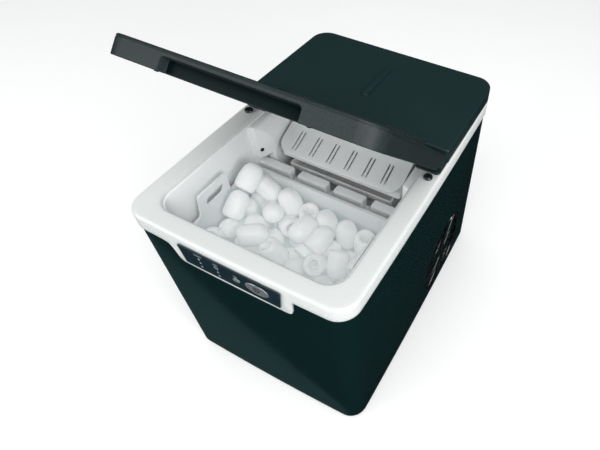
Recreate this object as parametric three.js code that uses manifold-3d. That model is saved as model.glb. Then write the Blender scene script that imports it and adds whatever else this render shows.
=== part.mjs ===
// A countertop ice maker with its lid standing half open.
// Millimetres, +Z up, +X to the right of someone facing the control panel, and -Y towards them.
// Heights are counted from the underside of the base pan, and the feet lift that off the table.
import * as THREE from "three";
import { mergeVertices } from "three/addons/utils/BufferGeometryUtils.js";
import Module from "manifold-3d";

const wasm = await Module();
wasm.setup();

// Driving dimensions.
const WIDTH = 242; // over the white top frame
const DEPTH = 338;
const CORNER = 21; // corner radius of the top frame, seen from above
const BOW = 1.2; // how far the middle of each side stands out past its ends
const RIM_LOW = 228; // lower edge of the top frame
const RIM_TOP = 246;
const COVER_TOP = 264;
const FOOT_HEIGHT = 7;
const GAP = 0.4; // between pieces that would touch
const SHELL_INSET = 1.5; // the cabinet stands back from the frame by this much
const WALL = 2.4; // moulded walls
const LID_WALL = 2.4;
const PROUD = 2.2; // how far the buttons stand out past the front of the frame

// Lid and hinge.
const HINGE_Y = 20;
const HINGE_Z = 258;
const PIN_R = 1.6;
const LID_OPEN = 44.8; // degrees from closed
const LID_FRONT = -168;
const LID_REAR = 23.6;
const LID_LOW = 247;
const LID_HALF = 119.5;
const NOTCH_HALF = 61.5;
const NOTCH_TOP = 257.5;
const NOTCH_DEEP = 8;

// Opening in the frame and the tub below it.
const OPEN_HALF = 99.5;
const OPEN_FRONT = -149;
const OPEN_REAR = 64;
const TUB_HALF = 98;
const TUB_FRONT = -148;
const TUB_REAR = 62;
const TUB_STEP = 150; // floor height of the rear half
const TUB_FLOOR = 74;
const TUB_DRAIN = [-70, -60]; // where the drain leaves the floor
const TEETH_FRONT = -14.5;
const TEETH_BACK = -3;
const TEETH_TOP = 190;
const TEETH_GAP = 10;
const TEETH_PITCH = 48;

// Basket.
const BASKET_HALF = 90;
const BASKET_FRONT = -140.5;
const BASKET_BACK = -28;
const BASKET_TOP = 197;
const BASKET_FLOOR = 98;
const BASKET_WALL = 2.2;

// Ice-making zone.
const TRAY_Y = 30.5;
const TRAY_Z = 183;
const TRAY_R = 24;
const TRAY_HALF = 68;
const CHEEK_IN = 82.5;
const CHEEK_OUT = 93.5;
const FRAME_BACK = 57.8;
const FINGERS = 7;
const FINGER_PITCH = 18;
const SHOVEL_HALF = 78.5;
const SHOVEL_FRONT = -1;
const SHOVEL_LOW = 207;
const SHOVEL_RISE = 0.39; // rise of the plate for each millimetre back
const SHOVEL_THICK = 2.7;
const BLADE_LOW = 192; // lower end of the blade that hangs behind the nose
const SLOT_PAIRS = 6;
const SLOT_PITCH = 23;
const SLOT_APART = 2.2; // from the middle of a pair to each of its slots
const SLOT_HALF = 0.8;
const LOUVRES = 8;
const LOUVRE_PITCH = 11;

// Fan on the right side.
const FAN_Y = 61.5;
const FAN_Z = 60.3;
const FAN_HOLE = 56;
const SWIRLS = 16;
const GUARD_LOW = 117.1; // inner face of the guard
const GUARD_HIGH = 119.2;
const RIB_HALF = 1.1; // half the width of a rib

// Controls on the front.
const POWER_X = 30.5;
const POWER_Z = 225;
const POWER_WIDE = 25;
const POWER_HIGH = 14.5;
const SELECT_X = 8.5;
const SELECT_Z = 224;
const SELECT_WIDE = 8;
const SELECT_HIGH = 5.5;
const TAB_LOW = 205; // lower edge of the tab that carries the panel
const LIGHTS = [
  [-31.5, 223.2],
  [-31.5, 217.6],
  [-12.3, 222],
  [-12.3, 216.4],
];

const ROUND = 20; // sides of a round piece
const REACH = 400; // longer than the whole machine, for cutting tools

// Finishes: colour, roughness, metalness.
const finishes = {
  cabinetBlack: [0x16282a, 0.3, 0],
  coverBlack: [0x1e3032, 0.55, 0],
  grainBlack: [0x333f40, 0.65, 0],
  white: [0xdfe3e2, 0.4, 0],
  innerWhite: [0xe5e9e8, 0.45, 0],
  shovelWhite: [0xd8dede, 0.4, 0],
  panelNavy: [0x2e424b, 0.25, 0],
  buttonSilver: [0x989da1, 0.35, 0.6],
  rubber: [0x1a1a1a, 0.8, 0],
  steel: [0xb8bcc0, 0.35, 1],
  zinc: [0xc4c8cb, 0.5, 1],
  copper: [0xb87348, 0.35, 1],
  compressorBlack: [0x1b1c1e, 0.5, 0.2],
  board: [0x1f5a3a, 0.55, 0],
  foam: [0xf2f2ee, 0.9, 0],
  lens: [0xe8f2ff, 0.15, 0],
  clearHose: [0xd6dcdc, 0.3, 0],
};

// ---- shapes -----------------------------------------------------------------

const degrees = (angle) => (angle * Math.PI) / 180;

function block(x0, x1, y0, y1, z0, z1) {
  const box = new THREE.BoxGeometry(x1 - x0, y1 - y0, z1 - z0);
  return box.translate((x0 + x1) / 2, (y0 + y1) / 2, (z0 + z1) / 2);
}

// A closed outline through straight corners.
function polygon(points) {
  return new THREE.Shape(points.map(([a, b]) => new THREE.Vector2(a, b)));
}

// A rounded rectangle whose four sides may bow outwards; rear corners may have their own radius.
function outline(x0, x1, y0, y1, r, rearR = r, bow = 0) {
  const middleX = (x0 + x1) / 2;
  const middleY = (y0 + y1) / 2;
  const [left, right] = [x0 + bow, x1 - bow];
  const [front, back] = [y0 + bow, y1 - bow];
  const s = new THREE.Shape();
  const side = (cx, cy, x, y) => (bow ? s.quadraticCurveTo(cx, cy, x, y) : s.lineTo(x, y));
  s.moveTo(left + r, front);
  side(middleX, y0 - bow, right - r, front);
  s.absarc(right - r, front + r, r, -Math.PI / 2, 0, false);
  side(x1 + bow, middleY, right, back - rearR);
  s.absarc(right - rearR, back - rearR, rearR, 0, Math.PI / 2, false);
  side(middleX, y1 + bow, left + rearR, back);
  s.absarc(left + rearR, back - rearR, rearR, Math.PI / 2, Math.PI, false);
  side(x0 - bow, middleY, left, front + r);
  s.absarc(left + r, front + r, r, Math.PI, 1.5 * Math.PI, false);
  return s;
}

// A slot with round ends, centred at (a, b).
function oval(a, b, long, high) {
  const r = high / 2;
  const reach = long / 2 - r;
  const s = new THREE.Shape();
  s.moveTo(a - reach, b - r);
  s.lineTo(a + reach, b - r);
  s.absarc(a + reach, b, r, -Math.PI / 2, Math.PI / 2, false);
  s.lineTo(a - reach, b + r);
  s.absarc(a - reach, b, r, Math.PI / 2, 1.5 * Math.PI, false);
  return s;
}

function circle(a, b, r) {
  const s = new THREE.Shape();
  s.absarc(a, b, r, 0, Math.PI, false);
  return s.absarc(a, b, r, Math.PI, 2 * Math.PI, false);
}

function ellipse(a, b, wide, high) {
  const s = new THREE.Shape();
  s.absellipse(a, b, wide / 2, high / 2, 0, Math.PI, false);
  return s.absellipse(a, b, wide / 2, high / 2, Math.PI, 2 * Math.PI, false);
}

function prism(shape, depth, curveSegments) {
  return new THREE.ExtrudeGeometry(shape, { depth, bevelEnabled: false, curveSegments });
}

// An outline in X and Y, raised from z0 to z1.
function upright(shape, z0, z1, curveSegments = 3) {
  return prism(shape, z1 - z0, curveSegments).translate(0, 0, z0);
}

// An outline in Y and Z, carried from x0 to x1.
function alongX(shape, x0, x1, curveSegments = 3) {
  const turn = new THREE.Matrix4().makeBasis(
    new THREE.Vector3(0, 1, 0),
    new THREE.Vector3(0, 0, 1),
    new THREE.Vector3(1, 0, 0),
  );
  return prism(shape, x1 - x0, curveSegments).applyMatrix4(turn).translate(x0, 0, 0);
}

// An outline in X and Z, carried from y0 to y1.
function alongY(shape, y0, y1, curveSegments = 3) {
  return prism(shape, y1 - y0, curveSegments).rotateX(Math.PI / 2).translate(0, y1, 0);
}

// An upright prism whose lower end is drawn in by this many millimetres on every side.
function tapered(shape, z0, z1, drawIn, curveSegments = 3) {
  const g = upright(shape, z0, z1, curveSegments);
  const p = g.getAttribute("position");
  g.computeBoundingBox();
  const size = g.boundingBox.getSize(new THREE.Vector3());
  const centre = g.boundingBox.getCenter(new THREE.Vector3());
  for (let i = 0; i < p.count; i++) {
    if (p.getZ(i) > centre.z) continue;
    p.setX(i, centre.x + (p.getX(i) - centre.x) * (1 - (2 * drawIn) / size.x));
    p.setY(i, centre.y + (p.getY(i) - centre.y) * (1 - (2 * drawIn) / size.y));
  }
  return g;
}

// An upright prism with a rounded top edge and a flat underside.
function softTop(shape, z0, z1, r) {
  const g = new THREE.ExtrudeGeometry(shape, {
    depth: z1 - z0,
    bevelThickness: r,
    bevelSize: r,
    bevelOffset: -r,
    bevelSegments: 2,
    curveSegments: 3,
  }).translate(0, 0, z0 - r);
  return cut(g, block(-REACH, REACH, -REACH, REACH, z0 - 2 * r, z0));
}

// A turned piece: radius and height pairs from one end of the axis to the other, standing along Z.
function turned(profile, sides = ROUND) {
  const points = profile.map(([r, h]) => new THREE.Vector2(r, h));
  return new THREE.LatheGeometry(points, sides).rotateX(Math.PI / 2);
}

// A round bar from h0 to h1 along Z, or a ring if it has an inner radius.
function bar(r, h0, h1, inner = 0, sides = ROUND) {
  const profile = [
    [inner, h0],
    [r, h0],
    [r, h1],
    [inner, h1],
  ];
  if (inner) profile.push([inner, h0]);
  return turned(profile, sides);
}

const lieAlongX = (g) => g.rotateY(Math.PI / 2);
const lieAlongY = (g) => g.rotateX(-Math.PI / 2);

// A round pipe through hand-chosen points.
function pipe(points, r, steps = 16, halfSides = 2) {
  const path = new THREE.CatmullRomCurve3(points.map((p) => new THREE.Vector3(...p)));
  const section = circle(0, 0, r);
  return new THREE.ExtrudeGeometry(section, { steps, curveSegments: halfSides, extrudePath: path });
}

// ---- joining and cutting ----------------------------------------------------

function solid(geometry) {
  const bare = geometry.clone();
  bare.deleteAttribute("normal");
  bare.deleteAttribute("uv");
  const merged = mergeVertices(bare, 1e-4);
  const vertProperties = new Float32Array(merged.getAttribute("position").array);
  const triVerts = new Uint32Array(merged.index.array);
  return new wasm.Manifold(new wasm.Mesh({ numProp: 3, vertProperties, triVerts }));
}

function surface(made) {
  const mesh = made.getMesh();
  const g = new THREE.BufferGeometry();
  g.setAttribute("position", new THREE.BufferAttribute(mesh.vertProperties, 3));
  g.setIndex(new THREE.BufferAttribute(mesh.triVerts, 1));
  return g;
}

function join(...pieces) {
  return surface(pieces.map(solid).reduce((a, b) => a.add(b)));
}

function cut(body, ...tools) {
  return surface(tools.map(solid).reduce((a, b) => a.subtract(b), solid(body)));
}

// ---- the tree ---------------------------------------------------------------

const machine = new THREE.Group();
machine.position.set(0, PROUD / 2, FOOT_HEIGHT);

const lid = new THREE.Group();
lid.position.set(0, HINGE_Y, HINGE_Z);
lid.rotation.x = -degrees(LID_OPEN);
machine.add(lid);

function place(name, geometry, finish, group = machine) {
  const [color, roughness, metalness] = finishes[finish];
  const material = new THREE.MeshStandardMaterial({ color, roughness, metalness });
  if (!geometry.getAttribute("normal")) geometry.computeVertexNormals();
  const mesh = new THREE.Mesh(geometry, material);
  mesh.name = name;
  group.add(mesh);
  return mesh;
}

// ---- cabinet ----------------------------------------------------------------

const frameOutline = (inset) => {
  const half = WIDTH / 2 - inset;
  const deep = DEPTH / 2 - inset;
  return outline(-half, half, -deep, deep, CORNER - inset, CORNER - inset, BOW);
};

// The tab of the frame that hangs down the front behind the control panel.
function tabOutline(spare) {
  const low = TAB_LOW - spare;
  const s = new THREE.Shape();
  s.moveTo(-80 - 6 * spare, RIM_LOW + 1);
  s.quadraticCurveTo(-68 - spare, RIM_LOW - 2 + spare, -65.5 - spare, RIM_LOW - 9);
  s.lineTo(-62 - spare, low + 5);
  s.quadraticCurveTo(-60.5 - spare, low, -55, low);
  s.lineTo(57, low);
  s.quadraticCurveTo(62 + spare, low, 63 + spare, low + 5);
  s.lineTo(65 + spare, RIM_LOW + 1);
  return s;
}

const powerHole = (spare) => ellipse(POWER_X, POWER_Z, POWER_WIDE + spare, POWER_HIGH + spare);
const selectHole = (spare) => ellipse(SELECT_X, SELECT_Z, SELECT_WIDE + spare, SELECT_HIGH + spare);

function cabinetShell() {
  const back = 97; // half the width of the opening at the back
  const louvres = Array.from({ length: LOUVRES }, (_, i) =>
    block(-REACH, -100, 26, 96, 26 + LOUVRE_PITCH * i, 31 + LOUVRE_PITCH * i),
  );
  return cut(
    upright(frameOutline(SHELL_INSET), GAP, RIM_LOW - GAP),
    upright(frameOutline(SHELL_INSET + WALL), -1, RIM_LOW),
    block(-back, back, 100, REACH, -1, RIM_LOW),
    alongX(circle(FAN_Y, FAN_Z, FAN_HOLE), 100, 130, 9),
    alongY(tabOutline(0.7), -180, -150),
    ...louvres,
  );
}

function basePan() {
  const inset = SHELL_INSET + WALL + GAP;
  return cut(
    upright(frameOutline(inset), 0, 12),
    upright(frameOutline(inset + 2), 2, 13),
    block(-99, 99, 150, REACH, 2, 13),
  );
}

function foot() {
  return turned([
    [0, -FOOT_HEIGHT],
    [9, -FOOT_HEIGHT],
    [11, -5],
    [11, -GAP],
    [0, -GAP],
  ]);
}

const PANEL_Y = 160.5;

function backPanel() {
  const slots = [];
  for (const column of [-34, 34]) {
    for (let row = 0; row < 6; row++) {
      const z = 100 + 18 * row;
      slots.push(alongY(oval(column, z, 52, 5), PANEL_Y - 1, PANEL_Y + 4, 2));
    }
  }
  return cut(
    block(-102, 102, PANEL_Y, PANEL_Y + WALL, 14, RIM_LOW - 2),
    ...slots,
    alongY(circle(DRAIN_X, DRAIN_Z, 9), PANEL_Y - 1, PANEL_Y + 4),
    alongY(circle(INLET_X, INLET_Z, 7.2), PANEL_Y - 1, PANEL_Y + 4),
  );
}

const SPOUT_Z = 211;
const SCREW_X = 110;
const SCREW_Y = 2.4;

function topFrame() {
  const rim = softTop(frameOutline(0), RIM_LOW, RIM_TOP, 3);
  const skirt = frameOutline(2.2);
  const mouth = outline(-OPEN_HALF, OPEN_HALF, OPEN_FRONT, OPEN_REAR, 19, 6);
  const hollow = cut(rim, upright(skirt, RIM_LOW - 1, RIM_TOP - 2.7), upright(mouth, 240, 250));
  const front = -DEPTH / 2;
  const tab = alongY(tabOutline(0), front + 0.3, front + 3.4);
  return cut(
    join(hollow, tab),
    alongY(powerHole(0.8), front - 2, front + 5, 5),
    alongY(selectHole(0.8), front - 2, front + 5),
    ...LIGHTS.map(([x, z]) => alongY(circle(x, z, 1.4), front - 2, front + 5, 2)),
    block(-60, 60, 78, 150, 240, 250),
    ...[-1, 1].map((side) => bar(2.4, 235, 250, 0, 16).translate(side * SCREW_X, SCREW_Y, 0)),
  );
}

function rearCover() {
  const back = DEPTH / 2 - 1;
  const front = 29;
  const low = RIM_TOP + GAP;
  const outer = softTop(outline(-LID_HALF, LID_HALF, front, back, 3, 20), low, COVER_TOP, 1.5);
  const edge = LID_HALF - WALL;
  const inner = upright(
    outline(-edge, edge, front + 9, back - WALL, 2, 18),
    low - 1,
    COVER_TOP - WALL,
  );
  const rib = softTop(oval(0, 0, 61, 8), 0, 3, 1.2).rotateZ(Math.PI / 2);
  const raised = rib.translate(-0.4, 98.5, COVER_TOP - 1.4);
  const recess = block(-92, 92, front - 1, front + 6, low - 1, COVER_TOP + 1);
  const hinges = [-1, 1].flatMap((side) => {
    const [a, b] = side < 0 ? [-LID_HALF + 0.5, -91] : [91, LID_HALF - 0.5];
    const [c, d] = side < 0 ? [-108, -104] : [104, 108];
    return [
      block(a, b, 9, front + 3, low, low + 2.5),
      block(c, d, HINGE_Y - 3.2, HINGE_Y + 3.2, low + 1, HINGE_Z),
      alongX(circle(HINGE_Y, HINGE_Z, 3.2), c, d),
    ];
  });
  return cut(
    join(cut(outer, inner, recess), raised, ...hinges),
    alongX(circle(HINGE_Y, HINGE_Z, PIN_R + 0.3), -109, -103),
    alongX(circle(HINGE_Y, HINGE_Z, PIN_R + 0.3), 103, 109),
  );
}

function screw() {
  const profile = [
    [0, 0],
    [2, 0],
    [2, 5],
    [4.8, 5],
    [4.8, 6.6],
    [3.4, 7.8],
    [0, 7.8],
  ];
  return turned(profile, 16);
}

// ---- control panel ----------------------------------------------------------

function controlOverlay() {
  const front = -DEPTH / 2 - GAP;
  const face = polygon([
    [-51.4, 212.5],
    [53, 212.5],
    [56.6, 237.6],
    [-54.2, 237.6],
  ]);
  return cut(
    alongY(face, front - 1.2, front),
    alongY(powerHole(0.8), front - 2, front + 1, 5),
    alongY(selectHole(0.8), front - 2, front + 1),
    ...LIGHTS.map(([x, z]) => alongY(circle(x, z, 1.4), front - 2, front + 1, 2)),
  );
}

function lightGuide() {
  const back = -DEPTH / 2 + 4;
  const pins = LIGHTS.map(([x, z]) =>
    alongY(circle(x, z, 1.05), -DEPTH / 2 - 1.7, back + 1, 2),
  );
  return join(block(-35, -9, back, back + 1.6, 214, 226), ...pins);
}

function controlBoard() {
  const y = -160;
  return join(
    block(-52, 52, y, y + 1.6, 209, 237),
    block(POWER_X - 3, POWER_X + 3, y - 2.6, y + 0.5, POWER_Z - 3, POWER_Z + 3),
    block(SELECT_X - 2.5, SELECT_X + 2.5, y - 2.6, y + 0.5, POWER_Z - 2.5, POWER_Z + 2.5),
    block(-44, -30, y + 1, y + 6, 228, 235),
  );
}

const BUTTON_BACK = -164.6;

function powerButton() {
  return alongY(powerHole(0), -DEPTH / 2 - PROUD, BUTTON_BACK, 5);
}

function selectButton() {
  return alongY(selectHole(0), -DEPTH / 2 - PROUD, BUTTON_BACK, 4);
}

// ---- tub --------------------------------------------------------------------

function tubLiner() {
  const top = RIM_TOP - 3.1;
  const w = WALL;
  const rear = (grow) =>
    outline(-TUB_HALF - grow, TUB_HALF + grow, TUB_FRONT - grow, TUB_REAR + grow, 18 + grow, 3);
  const front = (grow) =>
    outline(-94 - grow, 94 + grow, -144 - grow, TEETH_FRONT + grow, 17 + grow, 8);
  const flange = upright(outline(-106, 106, -155, 72, 22, 6), top - w, top);
  const body = join(
    flange,
    tapered(rear(w), TUB_STEP - w, top, 3),
    tapered(front(w), TUB_FLOOR - w, TUB_STEP + 1, 1.5),
  );
  const hollow = cut(
    body,
    tapered(rear(0), TUB_STEP, top + 1, 3),
    tapered(front(0), TUB_FLOOR, TUB_STEP + 1, 1.5),
  );
  const wall = block(-94.5, 94.5, TEETH_FRONT, TEETH_BACK, TUB_STEP - 1, TEETH_TOP);
  const gaps = [-1, 0, 1].map((n) => {
    const x = n * TEETH_PITCH;
    return block(
      x - TEETH_GAP / 2,
      x + TEETH_GAP / 2,
      TEETH_FRONT - 1,
      TEETH_BACK + 1,
      TEETH_TOP - 16,
      TEETH_TOP + 1,
    );
  });
  const ledges = [-1, 1].map((side) =>
    block(side * 89 - 6, side * 89 + 6, -110, -40, TUB_FLOOR - 1, BASKET_FLOOR - GAP),
  );
  const drain = bar(8, TUB_FLOOR - 14, TUB_FLOOR, 0, 20).translate(TUB_DRAIN[0], TUB_DRAIN[1], 0);
  const hole = bar(4.5, TUB_FLOOR - 15, TUB_FLOOR + 1, 0, 20);
  return cut(
    join(hollow, cut(wall, ...gaps), ...ledges, drain),
    hole.translate(TUB_DRAIN[0], TUB_DRAIN[1], 0),
    alongY(circle(0, SPOUT_Z, 4.4), TUB_REAR - 6, TUB_REAR + 6),
    ...[-1, 1].map((side) => alongY(circle(side * 58, 211.5, 4), TUB_REAR - 6, TUB_REAR + 6)),
  );
}

function foamJacket() {
  const side = 106;
  const room = outline(-97.6, 97.6, -147.6, -10.6, 19, 9);
  return cut(
    upright(outline(-side, side, -157, -4, 28, 12), 60, 143),
    upright(room, TUB_FLOOR - WALL - GAP, 144),
    bar(9, 50, 80, 0, 20).translate(TUB_DRAIN[0], TUB_DRAIN[1], 0),
    alongY(circle(PUMP_X, 84, 6), -30, 0),
  );
}

// ---- basket -----------------------------------------------------------------

// The grip on each side wall, drawn in Y and Z.
function gripOutline() {
  const s = new THREE.Shape();
  s.moveTo(-126, BASKET_TOP - 3);
  s.quadraticCurveTo(-117, BASKET_TOP - 1, -116, 204);
  s.lineTo(-112.5, 221);
  s.quadraticCurveTo(-111.5, 224, -108, 224);
  s.lineTo(-74, 224);
  s.quadraticCurveTo(-71, 224, -71, 221);
  s.lineTo(-71, BASKET_TOP - 3);
  return s;
}

function fingerSlot() {
  return polygon([
    [-104, 205],
    [-83, 205],
    [-79, 209],
    [-79, 214],
    [-101, 214],
    [-104, 211],
  ]);
}

function iceBasket() {
  const wide = (grow) =>
    outline(
      -BASKET_HALF - grow,
      BASKET_HALF + grow,
      BASKET_FRONT - grow,
      BASKET_BACK + grow,
      18 + grow,
      8 + grow,
    );
  const body = join(
    tapered(wide(0), BASKET_FLOOR, BASKET_TOP, 3),
    upright(wide(1.8), BASKET_TOP - 2, BASKET_TOP),
  );
  const room = tapered(wide(-BASKET_WALL), BASKET_FLOOR + BASKET_WALL, BASKET_TOP + 1, 3);
  const grips = [-1, 1].map((side) => {
    const x = side * (BASKET_HALF - BASKET_WALL / 2);
    const grip = alongX(gripOutline(), x - BASKET_WALL / 2, x + BASKET_WALL / 2);
    return cut(grip, alongX(fingerSlot(), x - 5, x + 5));
  });
  const holes = [];
  for (let i = 0; i < 4; i++) {
    for (let j = 0; j < 2; j++) {
      const hole = bar(3, BASKET_FLOOR - 1, BASKET_FLOOR + 5, 0, 8);
      holes.push(hole.translate(-60 + 40 * i, -110 + 50 * j, 0));
    }
  }
  return cut(join(cut(body, room), ...grips), ...holes);
}

// ---- ice-making zone --------------------------------------------------------

// The inner front corner of each cheek is bevelled, and the ice sensor looks out of that bevel.
const CHEEK_FRONT = -17;
const CHEEK_LOW = 196;
const CHEEK_TOP = 241;
const CHEEK_WIDE = 96; // outer face above the teeth
const CHEEK_CREST = 90; // inner edge at the top
const BEVEL_BACK = 3;
const BEVEL_OUT = 92;
const SENSOR_ALONG = 0.72; // part of the way from the back of the bevel to its front
const SENSOR_X = CHEEK_IN + SENSOR_ALONG * (BEVEL_OUT - CHEEK_IN);
const SENSOR_Y = BEVEL_BACK + SENSOR_ALONG * (CHEEK_FRONT - BEVEL_BACK);
const SENSOR_Z = 208;
const SENSOR_TURN = Math.atan2(BEVEL_OUT - CHEEK_IN, BEVEL_BACK - CHEEK_FRONT);

// Puts points drawn for the right side on the left too, still turning the same way.
function onSide(side, points) {
  const moved = points.map(([x, y]) => [side * x, y]);
  return side < 0 ? moved.reverse() : moved;
}

function cheekBevel(side) {
  const [dx, dy] = [BEVEL_OUT - CHEEK_IN, BEVEL_BACK - CHEEK_FRONT];
  return onSide(side, [
    [BEVEL_OUT + dx, CHEEK_FRONT - dy],
    [CHEEK_IN - dx, BEVEL_BACK + dy],
    [CHEEK_IN - dx, CHEEK_FRONT - dy],
  ]);
}

function cheekSensorSeat(side) {
  const hole = lieAlongX(bar(2.6, -14, 12, 0, 12)).rotateZ(side * SENSOR_TURN);
  return hole.translate(side * SENSOR_X, SENSOR_Y, SENSOR_Z);
}

// Each cheek leans outwards above the shovel, has a hollow back, and stands on a narrower leg.
function cheek(side) {
  const front = polygon(
    onSide(side, [
      [CHEEK_IN, CHEEK_LOW],
      [CHEEK_WIDE, CHEEK_LOW],
      [CHEEK_WIDE, CHEEK_TOP],
      [CHEEK_CREST, CHEEK_TOP],
      [CHEEK_IN, 212],
    ]),
  );
  const [a, b] = side < 0 ? [-CHEEK_OUT, -CHEEK_IN] : [CHEEK_IN, CHEEK_OUT];
  const [c, d] = side < 0 ? [-CHEEK_WIDE - 1, -93] : [93, CHEEK_WIDE + 1];
  const [e, f] = side < 0 ? [-CHEEK_OUT - 1, -CHEEK_IN - WALL] : [CHEEK_IN + WALL, CHEEK_OUT + 1];
  return cut(
    join(alongY(front, CHEEK_FRONT, FRAME_BACK), block(a, b, 0, FRAME_BACK, 154, 200)),
    block(c, d, 5, 53, 200, 236),
    block(e, f, 4, 53, 158, 204),
    alongX(circle(TRAY_Y, TRAY_Z, 4.4), a - 1, b + 1),
    upright(polygon(cheekBevel(side)), 180, 245),
    cheekSensorSeat(side),
  );
}

function evaporatorFrame() {
  const back = cut(
    block(-CHEEK_OUT, CHEEK_OUT, FRAME_BACK - WALL, FRAME_BACK, 154, 240),
    alongY(circle(0, SPOUT_Z, 4.4), 50, 66),
    ...[-1, 1].map((side) => alongY(circle(side * 58, 211.5, 4), 50, 66)),
  );
  return join(cheek(-1), cheek(1), back);
}

function evaporator() {
  const rail = alongX(oval(TRAY_Y, 211.7, 7, 6.4), -62, 62);
  const fingers = Array.from({ length: FINGERS }, (_, i) => {
    const finger = turned(
      [
        [0, 172],
        [2.6, 172.7],
        [4, 175.5],
        [4, 211],
        [0, 211],
      ],
      8,
    );
    return finger.translate((i - (FINGERS - 1) / 2) * FINGER_PITCH, TRAY_Y, 0);
  });
  const stubs = [-1, 1].map((side) => alongY(circle(side * 58, 211.7, 2.8), TRAY_Y, 40));
  return join(rail, ...fingers, ...stubs);
}

function waterTray() {
  const inner = TRAY_R - 2;
  const half = (r) => new THREE.Shape().absarc(TRAY_Y, TRAY_Z, r, Math.PI, 2 * Math.PI, false);
  const trough = cut(
    alongX(half(TRAY_R), -TRAY_HALF, TRAY_HALF, 8),
    alongX(circle(TRAY_Y, TRAY_Z, inner), -TRAY_HALF + 2.4, TRAY_HALF - 2.4, 8),
  );
  const pins = [-1, 1].map((side) => {
    const [a, b] = side < 0 ? [-85.6, -TRAY_HALF + 1] : [TRAY_HALF - 1, 85.6];
    return alongX(circle(TRAY_Y, TRAY_Z, 4), a, b);
  });
  const bosses = [-1, 1].map((side) => {
    const [a, b] = side < 0 ? [-TRAY_HALF, -TRAY_HALF + 2.4] : [TRAY_HALF - 2.4, TRAY_HALF];
    return alongX(circle(TRAY_Y, TRAY_Z, 7), a, b);
  });
  return join(trough, ...pins, ...bosses);
}

function iceShovel() {
  const at = (y) => SHOVEL_LOW + (y - SHOVEL_FRONT) * SHOVEL_RISE;
  const s = new THREE.Shape();
  s.moveTo(SHOVEL_FRONT, SHOVEL_LOW - 1.6);
  s.lineTo(8, at(8) - SHOVEL_THICK);
  s.quadraticCurveTo(11, 200, 7.4, BLADE_LOW);
  s.lineTo(10, BLADE_LOW);
  s.quadraticCurveTo(13.8, 200, 11, at(11) - SHOVEL_THICK);
  s.lineTo(53, at(53) - SHOVEL_THICK);
  s.lineTo(52, at(52));
  s.lineTo(SHOVEL_FRONT + 0.6, SHOVEL_LOW + 0.4);
  const corner = 16;
  const plan = outline(-SHOVEL_HALF, SHOVEL_HALF, SHOVEL_FRONT - 1, 60, corner, 2);
  const keep = upright(plan, 180, 240);
  const plate = surface(solid(alongX(s, -SHOVEL_HALF, SHOVEL_HALF)).intersect(solid(keep)));
  const slots = [];
  for (let i = 0; i < SLOT_PAIRS; i++) {
    const middle = (i - (SLOT_PAIRS - 1) / 2) * SLOT_PITCH;
    for (const side of [-SLOT_APART, SLOT_APART]) {
      const [a, b] = [middle + side - SLOT_HALF, middle + side + SLOT_HALF];
      slots.push(block(a, b, 14, 29, at(4) - 6, at(29) + 6));
      slots.push(block(a, b, 4.5, 15, at(4) - 1.2, at(29) + 6));
    }
  }
  return cut(plate, ...slots);
}

function trayMotor() {
  return lieAlongX(
    turned([
      [0, 0],
      [19, 0],
      [19, 7],
      [0, 7],
    ]),
  ).translate(-93.2, TRAY_Y, TRAY_Z);
}

function sensor() {
  const profile = [
    [0, -3],
    [2.2, -3],
    [2.2, 0.4],
    [1.2, 1],
    [0, 1],
  ];
  return lieAlongX(turned(profile, 12));
}

// ---- refrigeration and water ------------------------------------------------

const COMPRESSOR_X = -42;
const COMPRESSOR_Y = 106;
const PUMP_X = 10;
const PUMP_Y = 28;
const DRAIN_X = -80;
const DRAIN_Z = 32;
const INLET_X = 78;
const INLET_Z = 34;

function compressor() {
  const dome = turned([
    [0, 13],
    [36, 13],
    [44, 22],
    [44, 66],
    [46, 68],
    [46, 74],
    [44, 76],
    [44, 104],
    [34, 120],
    [14, 127],
    [0, 127],
  ]);
  const feet = block(-50, 50, -18, 18, 9, 14);
  return join(dome, feet).translate(COMPRESSOR_X, COMPRESSOR_Y, 0);
}

function condenser() {
  const fins = Array.from({ length: 11 }, (_, i) => block(50, 81, 18, 104, 20 + 7 * i, 23 + 7 * i));
  return cut(block(54, 76, 20, 102, 14, 102), ...fins.map((f) => f.scale(1, 0.92, 1).translate(0, 5, 0)));
}

function fanShroud() {
  const plate = block(83, 85.5, 11, 111, 13, 112);
  const ring = lieAlongX(bar(46, 84, 104, 43.6, 24)).translate(0, FAN_Y, FAN_Z);
  const hole = lieAlongX(bar(43.6, 80, 90, 0, 24)).translate(0, FAN_Y, FAN_Z);
  const spider = join(
    block(83, 85.5, 15, 107, FAN_Z - 2.5, FAN_Z + 2.5),
    block(83, 85.5, FAN_Y - 2.5, FAN_Y + 2.5, 15, 105),
    lieAlongX(bar(15, 83, 85.5)).translate(0, FAN_Y, FAN_Z),
  );
  return join(cut(plate, hole), ring, spider);
}

function fanMotor() {
  const profile = [
    [0, 86],
    [13, 86],
    [13, 92],
    [1.8, 92],
    [1.8, 99],
    [0, 99],
  ];
  const motor = turned(profile, 20);
  return lieAlongX(motor).translate(0, FAN_Y, FAN_Z);
}

function fanRotor() {
  const hub = cut(bar(15.5, 93, 104, 0, 24), bar(2.2, 92, 101, 0, 16));
  const blades = Array.from({ length: 7 }, (_, i) => {
    const blade = new THREE.BoxGeometry(28, 17, 1.6).rotateX(degrees(32));
    return blade.translate(27.5, 0, 98.5).rotateZ((i * 2 * Math.PI) / 7);
  });
  return lieAlongX(join(hub, ...blades)).translate(0, FAN_Y, FAN_Z);
}

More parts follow.
